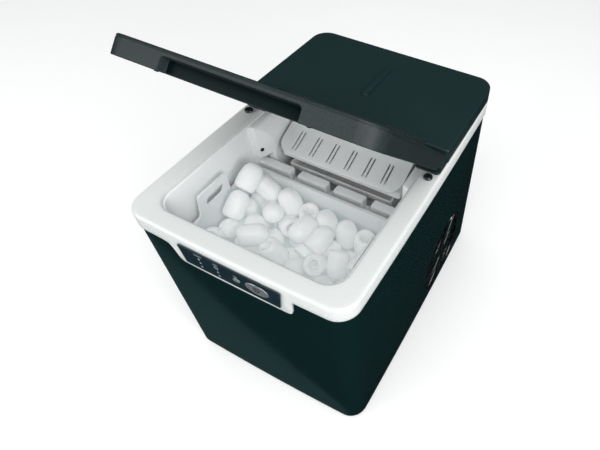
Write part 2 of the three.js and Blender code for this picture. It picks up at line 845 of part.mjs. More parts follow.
// A guard of curved ribs that swirl out from a small hub to an outer ring.
function fanGuard() {
  const [low, high] = [GUARD_LOW, GUARD_HIGH];
  const ring = bar(FAN_HOLE - GAP, low, high, FAN_HOLE - 4, 28);
  const hub = bar(8, low, high, 0, 14);
  const ribs = Array.from({ length: SWIRLS }, (_, i) => {
    const s = new THREE.Shape();
    s.moveTo(6, RIB_HALF);
    s.quadraticCurveTo(31, RIB_HALF, 50.4, -16.3);
    s.lineTo(49.3, -18.4);
    s.quadraticCurveTo(28, -RIB_HALF - 0.8, 6, -RIB_HALF);
    return upright(s, low, high, 3).rotateZ((i * 2 * Math.PI) / SWIRLS);
  });
  const mid = bar(31, low, high, 29.4, 20);
  return lieAlongX(join(ring, hub, mid, ...ribs)).translate(0, FAN_Y, FAN_Z);
}

function waterPump() {
  return join(
    bar(15, 62, 88, 0, 24),
    bar(12, 86, 98, 0, 24),
    bar(4, 97, 106, 0, 16),
    lieAlongY(bar(4, 10, 37, 0, 16)).rotateZ(Math.PI).translate(0, 0, 84),
  ).translate(PUMP_X, PUMP_Y, 0);
}

function pumpHose() {
  return pipe(
    [
      [PUMP_X, PUMP_Y, 107],
      [PUMP_X, PUMP_Y, 116],
      [PUMP_X, PUMP_Y + 12, 133],
      [PUMP_X, 66, 140],
      [6, 74, 158],
      [0, 74, 182],
      [0, 74, 200],
    ],
    4,
  );
}

function fillSpout() {
  return join(
    bar(3.6, 200.5, SPOUT_Z + 3.6, 0, 16).translate(0, 74, 0),
    alongY(circle(0, SPOUT_Z, 3.6), 42, 74),
  );
}

function drainHose() {
  return pipe(
    [
      [TUB_DRAIN[0], TUB_DRAIN[1], 59.4],
      [TUB_DRAIN[0], TUB_DRAIN[1], 48],
      [-82, -46, 34],
      [-103, 0, 30],
      [-105, 60, 30],
      [-105, 110, 31],
      [-101, 124, 31.5],
      [-86, 136, DRAIN_Z],
      [DRAIN_X, 142, DRAIN_Z],
      [DRAIN_X, 147.2, DRAIN_Z],
    ],
    5,
    18,
  );
}

function drainSpigot() {
  const profile = [
    [0, 148],
    [6.5, 148],
    [6.5, 156],
    [4.6, 156],
    [4.6, 166.5],
    [0, 166.5],
  ];
  const spigot = turned(profile, 14);
  return lieAlongY(spigot).translate(DRAIN_X, 0, DRAIN_Z);
}

function drainCap() {
  const profile = [
    [5, 157.5],
    [7.4, 157.5],
    [7.4, 168.6],
    [0, 168.6],
    [0, 167],
    [5, 167],
    [5, 157.5],
  ];
  const cap = turned(profile, 14);
  return lieAlongY(cap).translate(DRAIN_X, 0, DRAIN_Z);
}

function cordGland() {
  const profile = [
    [3.6, 154],
    [6.8, 154],
    [6.8, 165],
    [9.5, 165],
    [9.5, 167],
    [5.6, 168.8],
    [3.6, 168.8],
    [3.6, 154],
  ];
  const gland = turned(profile, 14);
  return lieAlongY(gland).translate(INLET_X, 0, INLET_Z);
}

function suctionPipe() {
  return pipe(
    [
      [58, 40.4, 211.7],
      [58, 66, 211.7],
      [58, 80, 204],
      [50, 92, 180],
      [16, 104, 160],
      [-30, 106, 150],
      [COMPRESSOR_X, COMPRESSOR_Y, 138],
      [COMPRESSOR_X, COMPRESSOR_Y, 127.6],
    ],
    2.8,
    18,
  );
}

function dischargePipe() {
  return pipe(
    [
      [4.6, COMPRESSOR_Y, 50],
      [14, COMPRESSOR_Y, 50],
      [32, 100, 56],
      [44, 84.4, 62],
      [53.4, 84, 62],
    ],
    2.4,
    20,
  );
}

function filterDrier() {
  const profile = [
    [0, 0],
    [2.5, 0],
    [8, 8],
    [8, 48],
    [2.5, 56],
    [0, 56],
  ];
  const drier = turned(profile, 12);
  return drier.translate(20, 132, 60);
}

function capillaryTube() {
  return pipe(
    [
      [20, 132, 116.6],
      [20, 130, 140],
      [-20, 112, 176],
      [-50, 90, 200],
      [-58, 76, 211.7],
      [-58, 40.4, 211.7],
    ],
    1.6,
    18,
  );
}

function powerBoard() {
  return join(block(34, 100, 122, 150, 18, 20), block(44, 70, 126, 146, 19, 42));
}

// ---- lid --------------------------------------------------------------------
// Drawn closed, then moved so that the hinge line is the group's origin.

function lidShell() {
  const w = LID_WALL;
  const side = LID_HALF;
  const full = outline(-side, side, LID_FRONT, LID_REAR, 20, 3, 0);
  const inner = outline(-side + w, side - w, LID_FRONT + w, LID_REAR - w, 18, 2, 0);
  const cup = cut(
    softTop(full, LID_LOW, COVER_TOP, 2),
    upright(inner, LID_LOW - 1, COVER_TOP - 2.5),
  );
  const front = block(
    -NOTCH_HALF - 3,
    NOTCH_HALF + 3,
    LID_FRONT + 1,
    LID_FRONT + NOTCH_DEEP + 2.4,
    LID_LOW,
    COVER_TOP - 1,
  );
  const notch = alongY(
    outline(-NOTCH_HALF, NOTCH_HALF, LID_LOW - 20, NOTCH_TOP, 2, 4),
    LID_FRONT - 2,
    LID_FRONT + NOTCH_DEEP,
  );
  const bosses = [-1, 1].flatMap((n) =>
    [101, 111].map((x) => block(n * x - 1.6, n * x + 1.6, 16, 22.5, 254.5, 262)),
  );
  const lugs = [-1, 1].map((n) => block(n * 106 - 2.8, n * 106 + 2.8, 15, 30, 240, COVER_TOP - 2.5));
  const pins = [-1, 1].map((n) =>
    alongX(circle(HINGE_Y, HINGE_Z, PIN_R + 0.3), n * 106 - 12, n * 106 + 12),
  );
  return cut(
    join(cup, front, ...bosses),
    notch,
    block(-REACH, REACH, 4, 60, LID_LOW - 1, 250.2),
    ...lugs,
    ...pins,
  ).translate(0, -HINGE_Y, -HINGE_Z);
}

function lidInnerPanel() {
  const plan = outline(-116, 116, LID_FRONT + 11.6, -6, 6, 4);
  return upright(plan, 248.4, 250.4).translate(0, -HINGE_Y, -HINGE_Z);
}

function lidBumper() {
  return bar(2, 246.3, 252, 0, 12);
}

// ---- assembly ---------------------------------------------------------------

place("cabinet_shell", cabinetShell(), "cabinetBlack");
place("base_pan", basePan(), "zinc");
place("back_panel", backPanel(), "cabinetBlack");
place("top_frame", topFrame(), "white");
place("rear_cover", rearCover(), "coverBlack");

for (const [name, x, y] of [
  ["foot_front_left", -96, -142],
  ["foot_front_right", 96, -142],
  ["foot_back_left", -96, 142],
  ["foot_back_right", 96, 142],
]) {
  place(name, foot(), "rubber").position.set(x, y, 0);
}

for (const [name, x] of [
  ["frame_screw_left", -SCREW_X],
  ["frame_screw_right", SCREW_X],
]) {
  place(name, screw(), "compressorBlack").position.set(x, SCREW_Y, RIM_TOP - 4.6);
}

place("control_overlay", controlOverlay(), "panelNavy");
place("light_guide", lightGuide(), "lens");
place("control_board", controlBoard(), "board");
place("power_button", powerButton(), "buttonSilver");
place("select_button", selectButton(), "buttonSilver");

place("tub_liner", tubLiner(), "innerWhite");
place("foam_jacket", foamJacket(), "foam");
place("ice_basket", iceBasket(), "innerWhite");

place("evaporator_frame", evaporatorFrame(), "innerWhite");
place("evaporator", evaporator(), "steel");
place("water_tray", waterTray(), "innerWhite");
place("ice_shovel", iceShovel(), "shovelWhite");
place("tray_motor", trayMotor(), "compressorBlack");
for (const [name, side] of [
  ["ice_sensor_left", -1],
  ["ice_sensor_right", 1],
]) {
  const lens = place(name, sensor(), "lens");
  lens.position.set(side * SENSOR_X, SENSOR_Y, SENSOR_Z);
  lens.rotation.z = side < 0 ? -SENSOR_TURN : Math.PI + SENSOR_TURN;
}

place("compressor", compressor(), "compressorBlack");
place("condenser", condenser(), "zinc");
place("fan_shroud", fanShroud(), "rubber");
place("fan_motor", fanMotor(), "steel");
place("fan_rotor", fanRotor(), "rubber");
place("fan_guard", fanGuard(), "cabinetBlack");
place("suction_pipe", suctionPipe(), "copper");
place("discharge_pipe", dischargePipe(), "copper");
place("filter_drier", filterDrier(), "copper");
place("capillary_tube", capillaryTube(), "copper");

place("water_pump", waterPump(), "white");
place("pump_hose", pumpHose(), "clearHose");
place("fill_spout", fillSpout(), "clearHose");
place("drain_hose", drainHose(), "clearHose");
place("drain_spigot", drainSpigot(), "white");
place("drain_cap", drainCap(), "rubber");
place("cord_gland", cordGland(), "rubber");
place("power_board", powerBoard(), "board");

place("lid_shell", lidShell(), "grainBlack", lid);
place("lid_inner_panel", lidInnerPanel(), "coverBlack", lid);
for (const [name, x, y] of [
  ["lid_bumper_left", -67, LID_FRONT + 6],
  ["lid_bumper_right", 67, LID_FRONT + 6],
]) {
  place(name, lidBumper(), "rubber", lid).position.set(x, y - HINGE_Y, -HINGE_Z);
}
for (const [name, x] of [
  ["hinge_pin_left", -106],
  ["hinge_pin_right", 106],
]) {
  place(name, lieAlongX(bar(PIN_R, -6.5, 6.5, 0, 12)), "steel").position.set(x, HINGE_Y, HINGE_Z);
}

export default machine;
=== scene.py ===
import math

import bmesh
import bpy
import numpy as np
from mathutils import Matrix, Vector
from mathutils.geometry import tessellate_polygon


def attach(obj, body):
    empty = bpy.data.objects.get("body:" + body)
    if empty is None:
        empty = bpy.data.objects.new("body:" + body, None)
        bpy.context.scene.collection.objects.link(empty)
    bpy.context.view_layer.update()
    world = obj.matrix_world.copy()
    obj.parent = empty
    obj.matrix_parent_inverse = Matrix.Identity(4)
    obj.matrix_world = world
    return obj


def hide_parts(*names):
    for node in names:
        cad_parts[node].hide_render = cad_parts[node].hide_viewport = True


# A countertop ice maker with its lid half open and a basket of hollow ice.
# Shapes are worked out in millimetres above the underside of the base pan, then moved into the frame.
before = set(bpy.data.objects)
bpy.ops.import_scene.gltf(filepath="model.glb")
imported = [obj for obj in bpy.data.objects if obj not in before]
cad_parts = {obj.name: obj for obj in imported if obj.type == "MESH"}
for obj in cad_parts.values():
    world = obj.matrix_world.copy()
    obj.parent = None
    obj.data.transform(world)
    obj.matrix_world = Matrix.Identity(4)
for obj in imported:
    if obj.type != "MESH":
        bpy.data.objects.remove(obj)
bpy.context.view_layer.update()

MM = 0.001
BASE = np.array([0.0, 1.1, 7.0])
HALF_WIDTH, HALF_DEPTH, CORNER, BOW = 121.0, 169.0, 21.0, 1.2
# Heights of the white frame's foot and top, the lid's lip and the groove round it, and the lid's flat top.
RIM_LOW, RIM_TOP, LID_LOW, LID_GROOVE, COVER_TOP = 228.0, 246.0, 247.0, 261.0, 264.0
# The lid and the rear cover both reach this far to each side, and to the front and the back.
COVER_HALF, COVER_END = 119.5, 168.0
HINGE = np.array([0.0, 20.0, 258.0])
HINGE_X = 106.0
LID_ANGLE = math.radians(44.8)
SCREW_X, SCREW_Y = 110.0, 2.4
FAN_CENTRE, FAN_RADIUS = np.array([0.0, 61.5, 60.3]), 56.0
DRAIN = (-70.0, -60.0, 0.0)
TRAY_PIVOT = (0.0, 30.5, 183.0)
# Holes in the back walls of tub and housing for the spout and the two pipes, as X, Z and diameter.
BACK_HOLES = [(0, 211, 8.8), (-58, 211.5, 8), (58, 211.5, 8)]


# ---- camera, light and floor ---------------------------------------------------------------------


def link(name, data):
    """A new object in the scene that holds the data."""
    made = bpy.data.objects.new(name, data)
    bpy.context.scene.collection.objects.link(made)
    return made


def stand_camera():
    """A short lens looks down over the right front corner, with a little roll."""
    azimuth, height, roll = math.radians(24.355), math.radians(48.032), math.radians(3.0)
    target = Vector((56.065, 64.269, 120.0)) + Vector(BASE)
    distance = 625.65
    flat = math.cos(height)
    back = Vector((math.sin(azimuth) * flat, -math.cos(azimuth) * flat, math.sin(height)))
    right = (-back).cross(Vector((0, 0, 1))).normalized()
    up = right.cross(-back)
    side = right * math.cos(roll) + up * math.sin(roll)
    top = up * math.cos(roll) - right * math.sin(roll)
    lens = bpy.data.cameras.new("camera")
    lens.sensor_width = 36.0
    lens.lens = 29.01138
    lens.shift_x = -0.171175
    lens.shift_y = -0.037287
    lens.clip_end = 20
    camera = link("camera", lens)
    place = (target + back * distance) * MM
    camera.matrix_world = Matrix((
        (side.x, top.x, back.x, place.x),
        (side.y, top.y, back.y, place.y),
        (side.z, top.z, back.z, place.z),
        (0, 0, 0, 1),
    ))
    bpy.context.scene.camera = camera


def softbox(name, place, aim, wide, high, watts):
    """A rectangular area lamp at place, in metres, turned to face aim."""
    lamp = bpy.data.lights.new(name, "AREA")
    lamp.shape = "RECTANGLE"
    lamp.size, lamp.size_y, lamp.energy = wide, high, watts
    stand = link(name, lamp)
    stand.location = place
    stand.rotation_euler = (Vector(aim) - Vector(place)).to_track_quat("-Z", "Y").to_euler()


# ---- mesh building -------------------------------------------------------------------------------

# Points closer than MERGE metres are one point, and edges sharper than CRISP degrees stay sharp.
MERGE, CRISP = 2e-6, 40.0


def quads(rows, around, loop):
    """Faces of a grid of rows by around points. Each row closes on itself, and so do the rows with loop."""
    index = np.arange(rows * around).reshape(rows, around)
    index = np.hstack([index, index[:, :1]])
    if loop:
        index = np.vstack([index, index[:1]])
    return np.stack([index[:-1, :-1], index[:-1, 1:], index[1:, 1:], index[1:, :-1]], -1).reshape(-1, 4)


def skin(rings, loop=False):
    """Points and faces of the surface through a stack of rings. It closes on itself with loop, or else by
    flat caps on its two ends."""
    rings = np.asarray(rings, float)
    rows, around = rings.shape[:2]
    faces = quads(rows, around, loop).tolist()
    if not loop:
        faces.append(list(range(around))[::-1])
        faces.append(list(range((rows - 1) * around, rows * around)))
    return rings.reshape(-1, 3), faces


def gather(*parts):
    """Several (points, faces) parts as one."""
    points, faces, count = [], [], 0
    for spots, corners in parts:
        points.append(spots)
        faces += [[c + count for c in face] for face in corners]
        count += len(spots)
    return np.vstack(points), faces


def cleaned(mesh, crisp, join_flat=False):
    """Merges the mesh's doubles, and its flat faces where asked, turns the faces outwards, and shades it
    smooth but for edges sharper than crisp."""
    shape = bmesh.new()
    shape.from_mesh(mesh)
    bmesh.ops.remove_doubles(shape, verts=shape.verts, dist=MERGE)
    if join_flat:
        bmesh.ops.dissolve_limit(shape, angle_limit=math.radians(0.6), verts=shape.verts, edges=shape.edges)
    else:
        bmesh.ops.dissolve_degenerate(shape, edges=shape.edges, dist=MERGE)
    bmesh.ops.recalc_face_normals(shape, faces=shape.faces)
    shape.to_mesh(mesh)
    shape.free()
    mesh.shade_smooth()
    mesh.set_sharp_from_angle(angle=math.radians(crisp))


def make(name, part, surface=None, body=None, stands_for=(), crisp=CRISP, lid=False):
    """A piece of the part's points and faces, in the frame. A lid's part is drawn closed and swung open."""
    points, faces = part
    if lid:
        points = open_lid(points)
    mesh = bpy.data.meshes.new(name)
    mesh.from_pydata((points + BASE) * MM, [], faces)
    cleaned(mesh, crisp)
    made = link(name, mesh)
    if surface:
        mesh.materials.append(surface)
    if body:
        enlist(made, body, stands_for)
    return made


def enlist(made, body, stands_for=()):
    """Rides a piece on its body, and hides the nodes that it stands for."""
    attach(made, body)
    if stands_for:
        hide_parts(*stands_for)


def open_lid(points):
    """Lid points are drawn closed and turn about the hinge line by the angle at which the lid stands."""
    c, s = math.cos(LID_ANGLE), math.sin(LID_ANGLE)
    d = points - HINGE
    return HINGE + np.column_stack([d[:, 0], c * d[:, 1] + s * d[:, 2], c * d[:, 2] - s * d[:, 1]])


def carve(made, parts):
    """Cuts the parts out of a piece and keeps the result as its mesh."""
    tools = [make("tool", part) for part in parts]
    for tool in tools:
        step = made.modifiers.new("carve", "BOOLEAN")
        step.operation, step.object, step.solver = "DIFFERENCE", tool, "EXACT"
    bpy.context.view_layer.update()
    done = bpy.data.meshes.new_from_object(made.evaluated_get(bpy.context.evaluated_depsgraph_get()))
    made.modifiers.clear()
    old = made.data
    made.data = done
    done.name = made.name
    bpy.data.meshes.remove(old)
    for tool in tools:
        bpy.data.meshes.remove(tool.data)
    done.shade_smooth()
    done.set_sharp_from_angle(angle=math.radians(CRISP))
    return made


def soften(made, width, segments=2, angle=35.0):
    """A small radius on every edge sharper than angle, as a mould leaves it."""
    edge = made.modifiers.new("edge", "BEVEL")
    edge.width, edge.segments, edge.limit_method = width * MM, segments, "ANGLE"
    edge.angle_limit = math.radians(angle)
    edge.harden_normals = True
    edge.use_clamp_overlap = True
    return made


def rounded(x0, x1, y0, y1, r, rear=None, bow=0.0, front=None, sides=25, turn=10):
    """Plan outline, anticlockwise from the front left. The middle of each side swells by bow * (1 - t * t),
    and every corner is a quarter circle of radius r, or rear at the back. A side has this many points and a
    corner turn of them. front lists where along the front side its points lie, from -1 to 1."""
    rear = max(r if rear is None else rear, 0.05)
    r = max(r, 0.05)
    a, b, c, d = x0 + bow, x1 - bow, y0 + bow, y1 - bow
    t = np.linspace(-1, 1, sides)
    u = t if front is None else front
    q = np.linspace(0, math.pi / 2, turn + 2)[1:-1]

    def along(lo, hi, s):
        return lo + (hi - lo) * (s + 1) / 2

    def corner(cx, cy, radius, start):
        return np.column_stack([cx + radius * np.cos(start + q), cy + radius * np.sin(start + q)])

    return np.vstack([
        np.column_stack([along(a + r, b - r, u), c - bow * (1 - u * u)]),
        corner(b - r, c + r, r, -math.pi / 2),
        np.column_stack([b + bow * (1 - t * t), along(c + r, d - rear, t)]),
        corner(b - rear, d - rear, rear, 0.0),
        np.column_stack([along(b - rear, a + rear, t), d + bow * (1 - t * t)]),
        corner(a + rear, d - rear, rear, math.pi / 2),
        np.column_stack([a - bow * (1 - t * t), along(d - rear, c + r, t)]),
        corner(a + r, c + r, r, math.pi),
    ])


def raised(plan, z):
    """A plan outline at height z, which may differ from point to point."""
    return np.column_stack([plan, np.broadcast_to(np.asarray(z, float), len(plan))])


def quarter(steps, start=0.0, end=90.0):
    """Angles of an edge rounding, as (cosine, sine) pairs."""
    a = np.radians(np.linspace(start, end, steps))
    return list(zip(np.cos(a), np.sin(a)))


def full_turn(steps):
    """Angles spaced evenly all the way round."""
    return np.linspace(0, 2 * math.pi, steps, endpoint=False)


def ease(t):
    """A level start and a level end: 3t^2 - 2t^3."""
    return t * t * (3 - 2 * t)


def parabola(a, b, c, t):
    """The curve that leaves a towards b and reaches c, as t goes from 0 to 1."""
    return (1 - t) ** 2 * a + 2 * t * (1 - t) * b + t * t * c


def slab(x0, x1, y0, y1, z0, z1, r=2.0, edge=0.8, turn=6):
    """A box with rounded upright corners. A quarter circle of radius edge draws its rings out to full size
    at the bottom, and another draws them in again at the top."""
    rings = [(edge * (1 - s), z0 + edge * (1 - c)) for c, s in quarter(4)]
    rings += [(edge * (1 - c), z1 - edge + edge * s) for c, s in quarter(4)]
    return skin([
        raised(rounded(x0 + i, x1 - i, y0 + i, y1 - i, r - i, sides=5, turn=turn), z) for i, z in rings
    ])


def turned(profile, sides=48, axis=2, at=(0, 0, 0)):
    """A profile of (radius, height) pairs carried round an axis, x being 0, y 1 and z 2."""
    a = full_turn(sides)
    profile = np.asarray(profile, float)
    r, h = profile[:, :1], np.repeat(profile[:, 1:], sides, 1)
    round_x, round_y = r * np.cos(a), r * np.sin(a)
    order = {0: (h, round_x, round_y), 1: (round_y, h, round_x), 2: (round_x, round_y, h)}[axis]
    rings = np.stack(order, -1) + np.asarray(at, float)
    return skin(rings)


def rod(radius, low, high, sides=32, axis=2, at=(0, 0, 0)):
    """A round bar from low to high along an axis."""
    return turned([(0, low), (radius, low), (radius, high), (0, high)], sides, axis, at)


def tube(path, radius, sides=12, flat=1.0, closed=False):
    """A round section carried along a path. The section's axes at each point are the path's normal in its
    own plane and the plane's upright; flat squeezes it along the upright."""
    path = np.asarray(path, float)
    ahead = np.roll(path, -1, 0) - np.roll(path, 1, 0)
    if not closed:
        ahead[0], ahead[-1] = path[1] - path[0], path[-1] - path[-2]
    ahead /= np.linalg.norm(ahead, axis=1)[:, None]
    spread = path - path.mean(0)
    upright = np.linalg.svd(spread, full_matrices=False)[2][-1]
    across = np.cross(ahead, upright)
    a = full_turn(sides)
    rings = path[:, None] + radius * (
        np.cos(a)[None, :, None] * across[:, None] + flat * np.sin(a)[None, :, None] * upright[None, None]
    )
    return skin(rings, loop=closed)


def plate(outer, holes, low, high, axis):
    """A flat sheet between low and high along axis, with holes; the outlines run in the other two axes."""
    rims = [np.asarray(outer, float)] + [np.asarray(h, float) for h in holes]
    flat = np.vstack(rims)
    triangles = tessellate_polygon([[Vector((p[0], p[1], 0)) for p in rim] for rim in rims])
    count = len(flat)
    columns = {
        0: lambda h: np.column_stack([np.full(count, h), flat]),
        1: lambda h: np.column_stack([flat[:, 0], np.full(count, h), flat[:, 1]]),
        2: lambda h: np.column_stack([flat, np.full(count, h)]),
    }[axis]
    faces = [list(t)[::-1] for t in triangles] + [[i + count for i in t] for t in triangles]
    start = 0
    for rim in rims:
        n = len(rim)
        i = np.arange(n)
        j = (i + 1) % n
        faces += (np.stack([i, j, j + count, i + count], -1) + start).tolist()
        start += n
    return np.vstack([columns(low), columns(high)]), faces


def oblong(x0, x1, y0, y1):
    """The corners of a rectangle."""
    return [(x0, y0), (x1, y0), (x1, y1), (x0, y1)]


def box(x0, x1, y0, y1, z0, z1):
    """A block with sharp edges, to cut with."""
    return plate(oblong(x0, x1, y0, y1), [], z0, z1, 2)


def ellipse(cx, cy, wide, high, sides=48):
    """Points round an ellipse of this width and height."""
    a = full_turn(sides)
    return np.column_stack([cx + wide / 2 * np.cos(a), cy + high / 2 * np.sin(a)])


def smoothed(points, r, steps=5):
    """A polygon whose corners are cut back by r and rounded with a parabola through the corner."""
    points = np.asarray(points, float)
    before = np.roll(points, 1, 0) - points
    after = np.roll(points, -1, 0) - points
    before /= np.linalg.norm(before, axis=1)[:, None]
    after /= np.linalg.norm(after, axis=1)[:, None]
    t = np.linspace(0, 1, steps)[None, :, None]
    a, b, c = points + r * before, points, points + r * after
    return parabola(a[:, None], b[:, None], c[:, None], t).reshape(-1, 2)


# ---- finishes ------------------------------------------------------------------------------------

# The sockets of a Mix node that hold its two colours, and its colour output.
MIX_FIRST, MIX_SECOND, MIX_RESULT = 6, 7, 2


def linear(text):
    """An sRGB hex colour as linear red, green, blue and alpha."""
    parts = [int(text[i : i + 2], 16) / 255 for i in (1, 3, 5)]
    return [p / 12.92 if p <= 0.04045 else ((p + 0.055) / 1.055) ** 2.4 for p in parts] + [1.0]


def add(tree, kind, sockets=None, **settings):
    """Adds a node, sets its properties, and fills its sockets with values or with other nodes' outputs."""
    made = tree.nodes.new(kind)
    for key, value in settings.items():
        setattr(made, key, value)
    for key, value in (sockets or {}).items():
        if isinstance(value, bpy.types.NodeSocket):
            tree.links.new(value, made.inputs[key])
        else:
            made.inputs[key].default_value = value
    return made


def finish(name, shade, rough, blotch=0.06, blotch_mm=45.0, spread=0.05, grain_mm=0.0, grain_um=0.0,
           stretch=(1, 1, 1), cells=False, **shader):
    """A surface over Object coordinates. A wide noise shifts the tone by blotch, and a fine noise, or cells,
    of grain_mm raises a relief of grain_um micrometres. Both shift the roughness by spread. stretch pulls
    them along an axis, and anything else is set straight on the shader."""
    material = bpy.data.materials.new(name)
    material.use_nodes = True
    tree = material.node_tree
    surface = tree.nodes["Principled BSDF"]
    place = add(tree, "ShaderNodeTexCoord").outputs["Object"]
    place = add(tree, "ShaderNodeMapping", {"Vector": place, "Scale": stretch}).outputs["Vector"]
    wide = add(tree, "ShaderNodeTexNoise", {
        "Vector": place, "Scale": 1000 / blotch_mm, "Detail": 4.0, "Roughness": 0.55,
    }).outputs["Fac"]
    base = linear(shade)
    dark = [c * (1 - blotch) for c in base[:3]] + [1]
    light = [min(1, c * (1 + blotch)) for c in base[:3]] + [1]
    tone = add(tree, "ShaderNodeMix", {
        "Factor": wide, MIX_FIRST: dark, MIX_SECOND: light,
    }, data_type="RGBA")
    tree.links.new(tone.outputs[MIX_RESULT], surface.inputs["Base Color"])
    fine_scale = 1000 / (grain_mm or 1.5)
    if cells:
        fine = add(tree, "ShaderNodeTexVoronoi", {"Vector": place, "Scale": fine_scale}).outputs["Distance"]
    else:
        fine = add(tree, "ShaderNodeTexNoise", {
            "Vector": place, "Scale": fine_scale, "Detail": 3.0, "Roughness": 0.6,
        }).outputs["Fac"]
    both = add(tree, "ShaderNodeMath", {0: wide, 1: fine}, operation="ADD").outputs[0]
    sheen = add(tree, "ShaderNodeMapRange", {
        "Value": both, "From Min": 0.6, "From Max": 1.4, "To Min": rough - spread, "To Max": rough + spread,
    })
    tree.links.new(sheen.outputs["Result"], surface.inputs["Roughness"])
    if grain_um:
        relief = add(tree, "ShaderNodeBump", {"Height": fine, "Strength": 1.0, "Distance": grain_um * 1e-6})
        tree.links.new(relief.outputs["Normal"], surface.inputs["Normal"])
    for key, value in shader.items():
        surface.inputs[key.replace("_", " ")].default_value = value
    return material


# Moulded black ABS polished in the tool: deep teal black with a clear, slightly wavy reflection, tinted
# teal and at half the usual strength.
gloss_abs = finish("moulded_black_abs_gloss", "#0a1f20", 0.11, 0.12, 70, 0.03, 24.0, 10.0,
                   Specular_IOR_Level=0.25, Specular_Tint=(0.7, 1.0, 1.0, 1.0))
# Moulded black ABS from a satin tool: a lighter teal black with a broad soft highlight and faint stipple.
satin_abs = finish("moulded_black_abs_satin", "#1b2f30", 0.33, 0.12, 90, 0.06, 0.7, 5.0)
# Spark-eroded texture on black ABS: grey sparkling grain, drawn at 1.4 mm so that it shows.
grained_abs = finish("spark_textured_black_abs", "#232f30", 0.50, 0.60, 2.0, 0.09, 1.4, 90.0)
# The lid's finger recess, always in its own shade: painted shade, the deepest black with hardly a reflection,
# standing in for the shadow that falls in the recess.
painted_shade_abs = finish("moulded_black_abs_painted_shade", "#061516", 0.30, 0.10, 60, 0.04, 20.0, 6.0,
                    Specular_IOR_Level=0.06)
# Polished black ABS ribs: thin and round, so each one carries a bright line of light.
rib_abs = finish("moulded_black_abs_ribs", "#0c1818", 0.16, 0.10, 40, 0.04, 6.0, 4.0,
                 Specular_IOR_Level=1.0, Coat_Weight=1.0, Coat_Roughness=0.12)
# White ABS with a light gloss: clean and milky, with a soft bright roll along rounded edges.
white_abs = finish("moulded_white_abs", "#dadedd", 0.27, 0.015, 80, 0.04, 1.1, 3.0)
# White ABS liner, gloss from the tool.
liner_abs = finish("moulded_white_abs_liner", "#f6f8f8", 0.30, 0.02, 60, 0.05, 1.4, 4.0)
# White polypropylene: waxier and a little translucent, so its edges glow.
basket_pp = finish("moulded_white_polypropylene", "#e9edee", 0.34, 0.025, 35, 0.05, 1.2, 6.0,
                   Subsurface_Weight=0.15, Subsurface_Scale=0.004)
# White acetal shovel: cooler and denser than the liner, with a tight highlight.
shovel_pom = finish("moulded_white_acetal", "#eef2f2", 0.25, 0.03, 40, 0.04, 1.2, 4.0)
# Silk-screened polycarbonate film: dark navy print seen through a flat glossy face.
navy_film = finish("printed_polycarbonate_film", "#1b2c34", 0.12, 0.05, 30, 0.03, 8.0, 3.0,
                   Coat_Weight=0.5, Coat_Roughness=0.05)
# Silver paint under clear lacquer on ABS: fine metal flake, drawn at 0.5 mm so that it shows.
silver_paint = finish("silver_painted_abs", "#b6bbbe", 0.30, 0.08, 12, 0.08, 0.5, 6.0, cells=True,
                      Metallic=0.75)
# Dark print ink on the key: matt, with no relief.
print_ink = finish("pad_printed_dark_ink", "#1f272b", 0.55, 0.06, 5)
# Pale print ink on the film: matt grey white with slightly uneven cover.
pale_ink = finish("screen_printed_pale_ink", "#8d9ba2", 0.5, 0.12, 3)
# Clear acrylic light guide: bright, slightly blue ends.
guide_acrylic = finish("clear_acrylic_light_guide", "#b9c7d2", 0.12, 0.05, 4,
                       Transmission_Weight=0.4, IOR=1.49)
# Moulded rubber: dull charcoal with a dusty fine grain.
rubber = finish("moulded_rubber", "#202223", 0.78, 0.14, 8, 0.07, 0.6, 30.0)
# Black oxide over turned steel: dark grey with an oily glint, slightly mottled.
black_oxide = finish("black_oxide_steel", "#5a6062", 0.24, 0.2, 5, 0.08, 0.5, 8.0, Metallic=0.85)
# Hot-dip galvanised sheet: grey spangle in cells of about 12 mm.
galvanised = finish("galvanised_steel_sheet", "#a7adaf", 0.40, 0.18, 12, 0.12, 12.0, 10.0, cells=True,
                    Metallic=1.0)
# Turned and polished steel pins and motor cans: fine lines drawn along one axis.
bright_steel = finish("drawn_bright_steel", "#b1b5b8", 0.28, 0.08, 14, 0.08, 0.6, 6.0, (0.1, 1, 1),
                      Metallic=1.0)
# Nickel-plated copper: warm mirror with faint plating ripple.
nickel = finish("nickel_plated_copper", "#c8c6c0", 0.15, 0.05, 18, 0.05, 3.0, 8.0, Metallic=1.0)
# Drawn copper pipe: rosy metal dulled in patches by handling.
copper = finish("drawn_copper", "#b87449", 0.27, 0.22, 12, 0.12, 1.5, 8.0, Metallic=1.0)
# Mill-finish aluminium fins: pale, with rolling lines along the fin.
mill_aluminium = finish("rolled_aluminium", "#babec1", 0.34, 0.08, 16, 0.08, 0.8, 8.0, (1, 0.08, 1),
                        Metallic=1.0)
# Black powder coat on the pressed compressor shell: orange-peel skin of about 2 mm.
powder_coat = finish("black_powder_coat", "#17191a", 0.42, 0.12, 20, 0.07, 2.0, 40.0)
# Glass-filled black nylon for the fan and shroud: dry and streaky along the flow.
filled_nylon = finish("glass_filled_black_nylon", "#17191a", 0.55, 0.2, 10, 0.08, 1.0, 18.0, (1, 0.4, 1))
# Expanded polystyrene: white beads of 4 mm pressed together.
bead_foam = finish("expanded_polystyrene", "#eeeeea", 0.85, 0.03, 20, 0.05, 4.0, 250.0, cells=True)
# Solder mask over glass fibre board: green gloss with copper tracks telling through as darker patches.
solder_mask = finish("solder_mask_board", "#1d5638", 0.32, 0.3, 6, 0.08, 1.5, 20.0, cells=True)
# Silicone hose: milky and soft, light comes part of the way through.
silicone = finish("extruded_silicone_hose", "#d3dada", 0.38, 0.05, 15, 0.06, 1.2, 8.0,
                  Transmission_Weight=0.25, Subsurface_Weight=0.2, Subsurface_Scale=0.003)
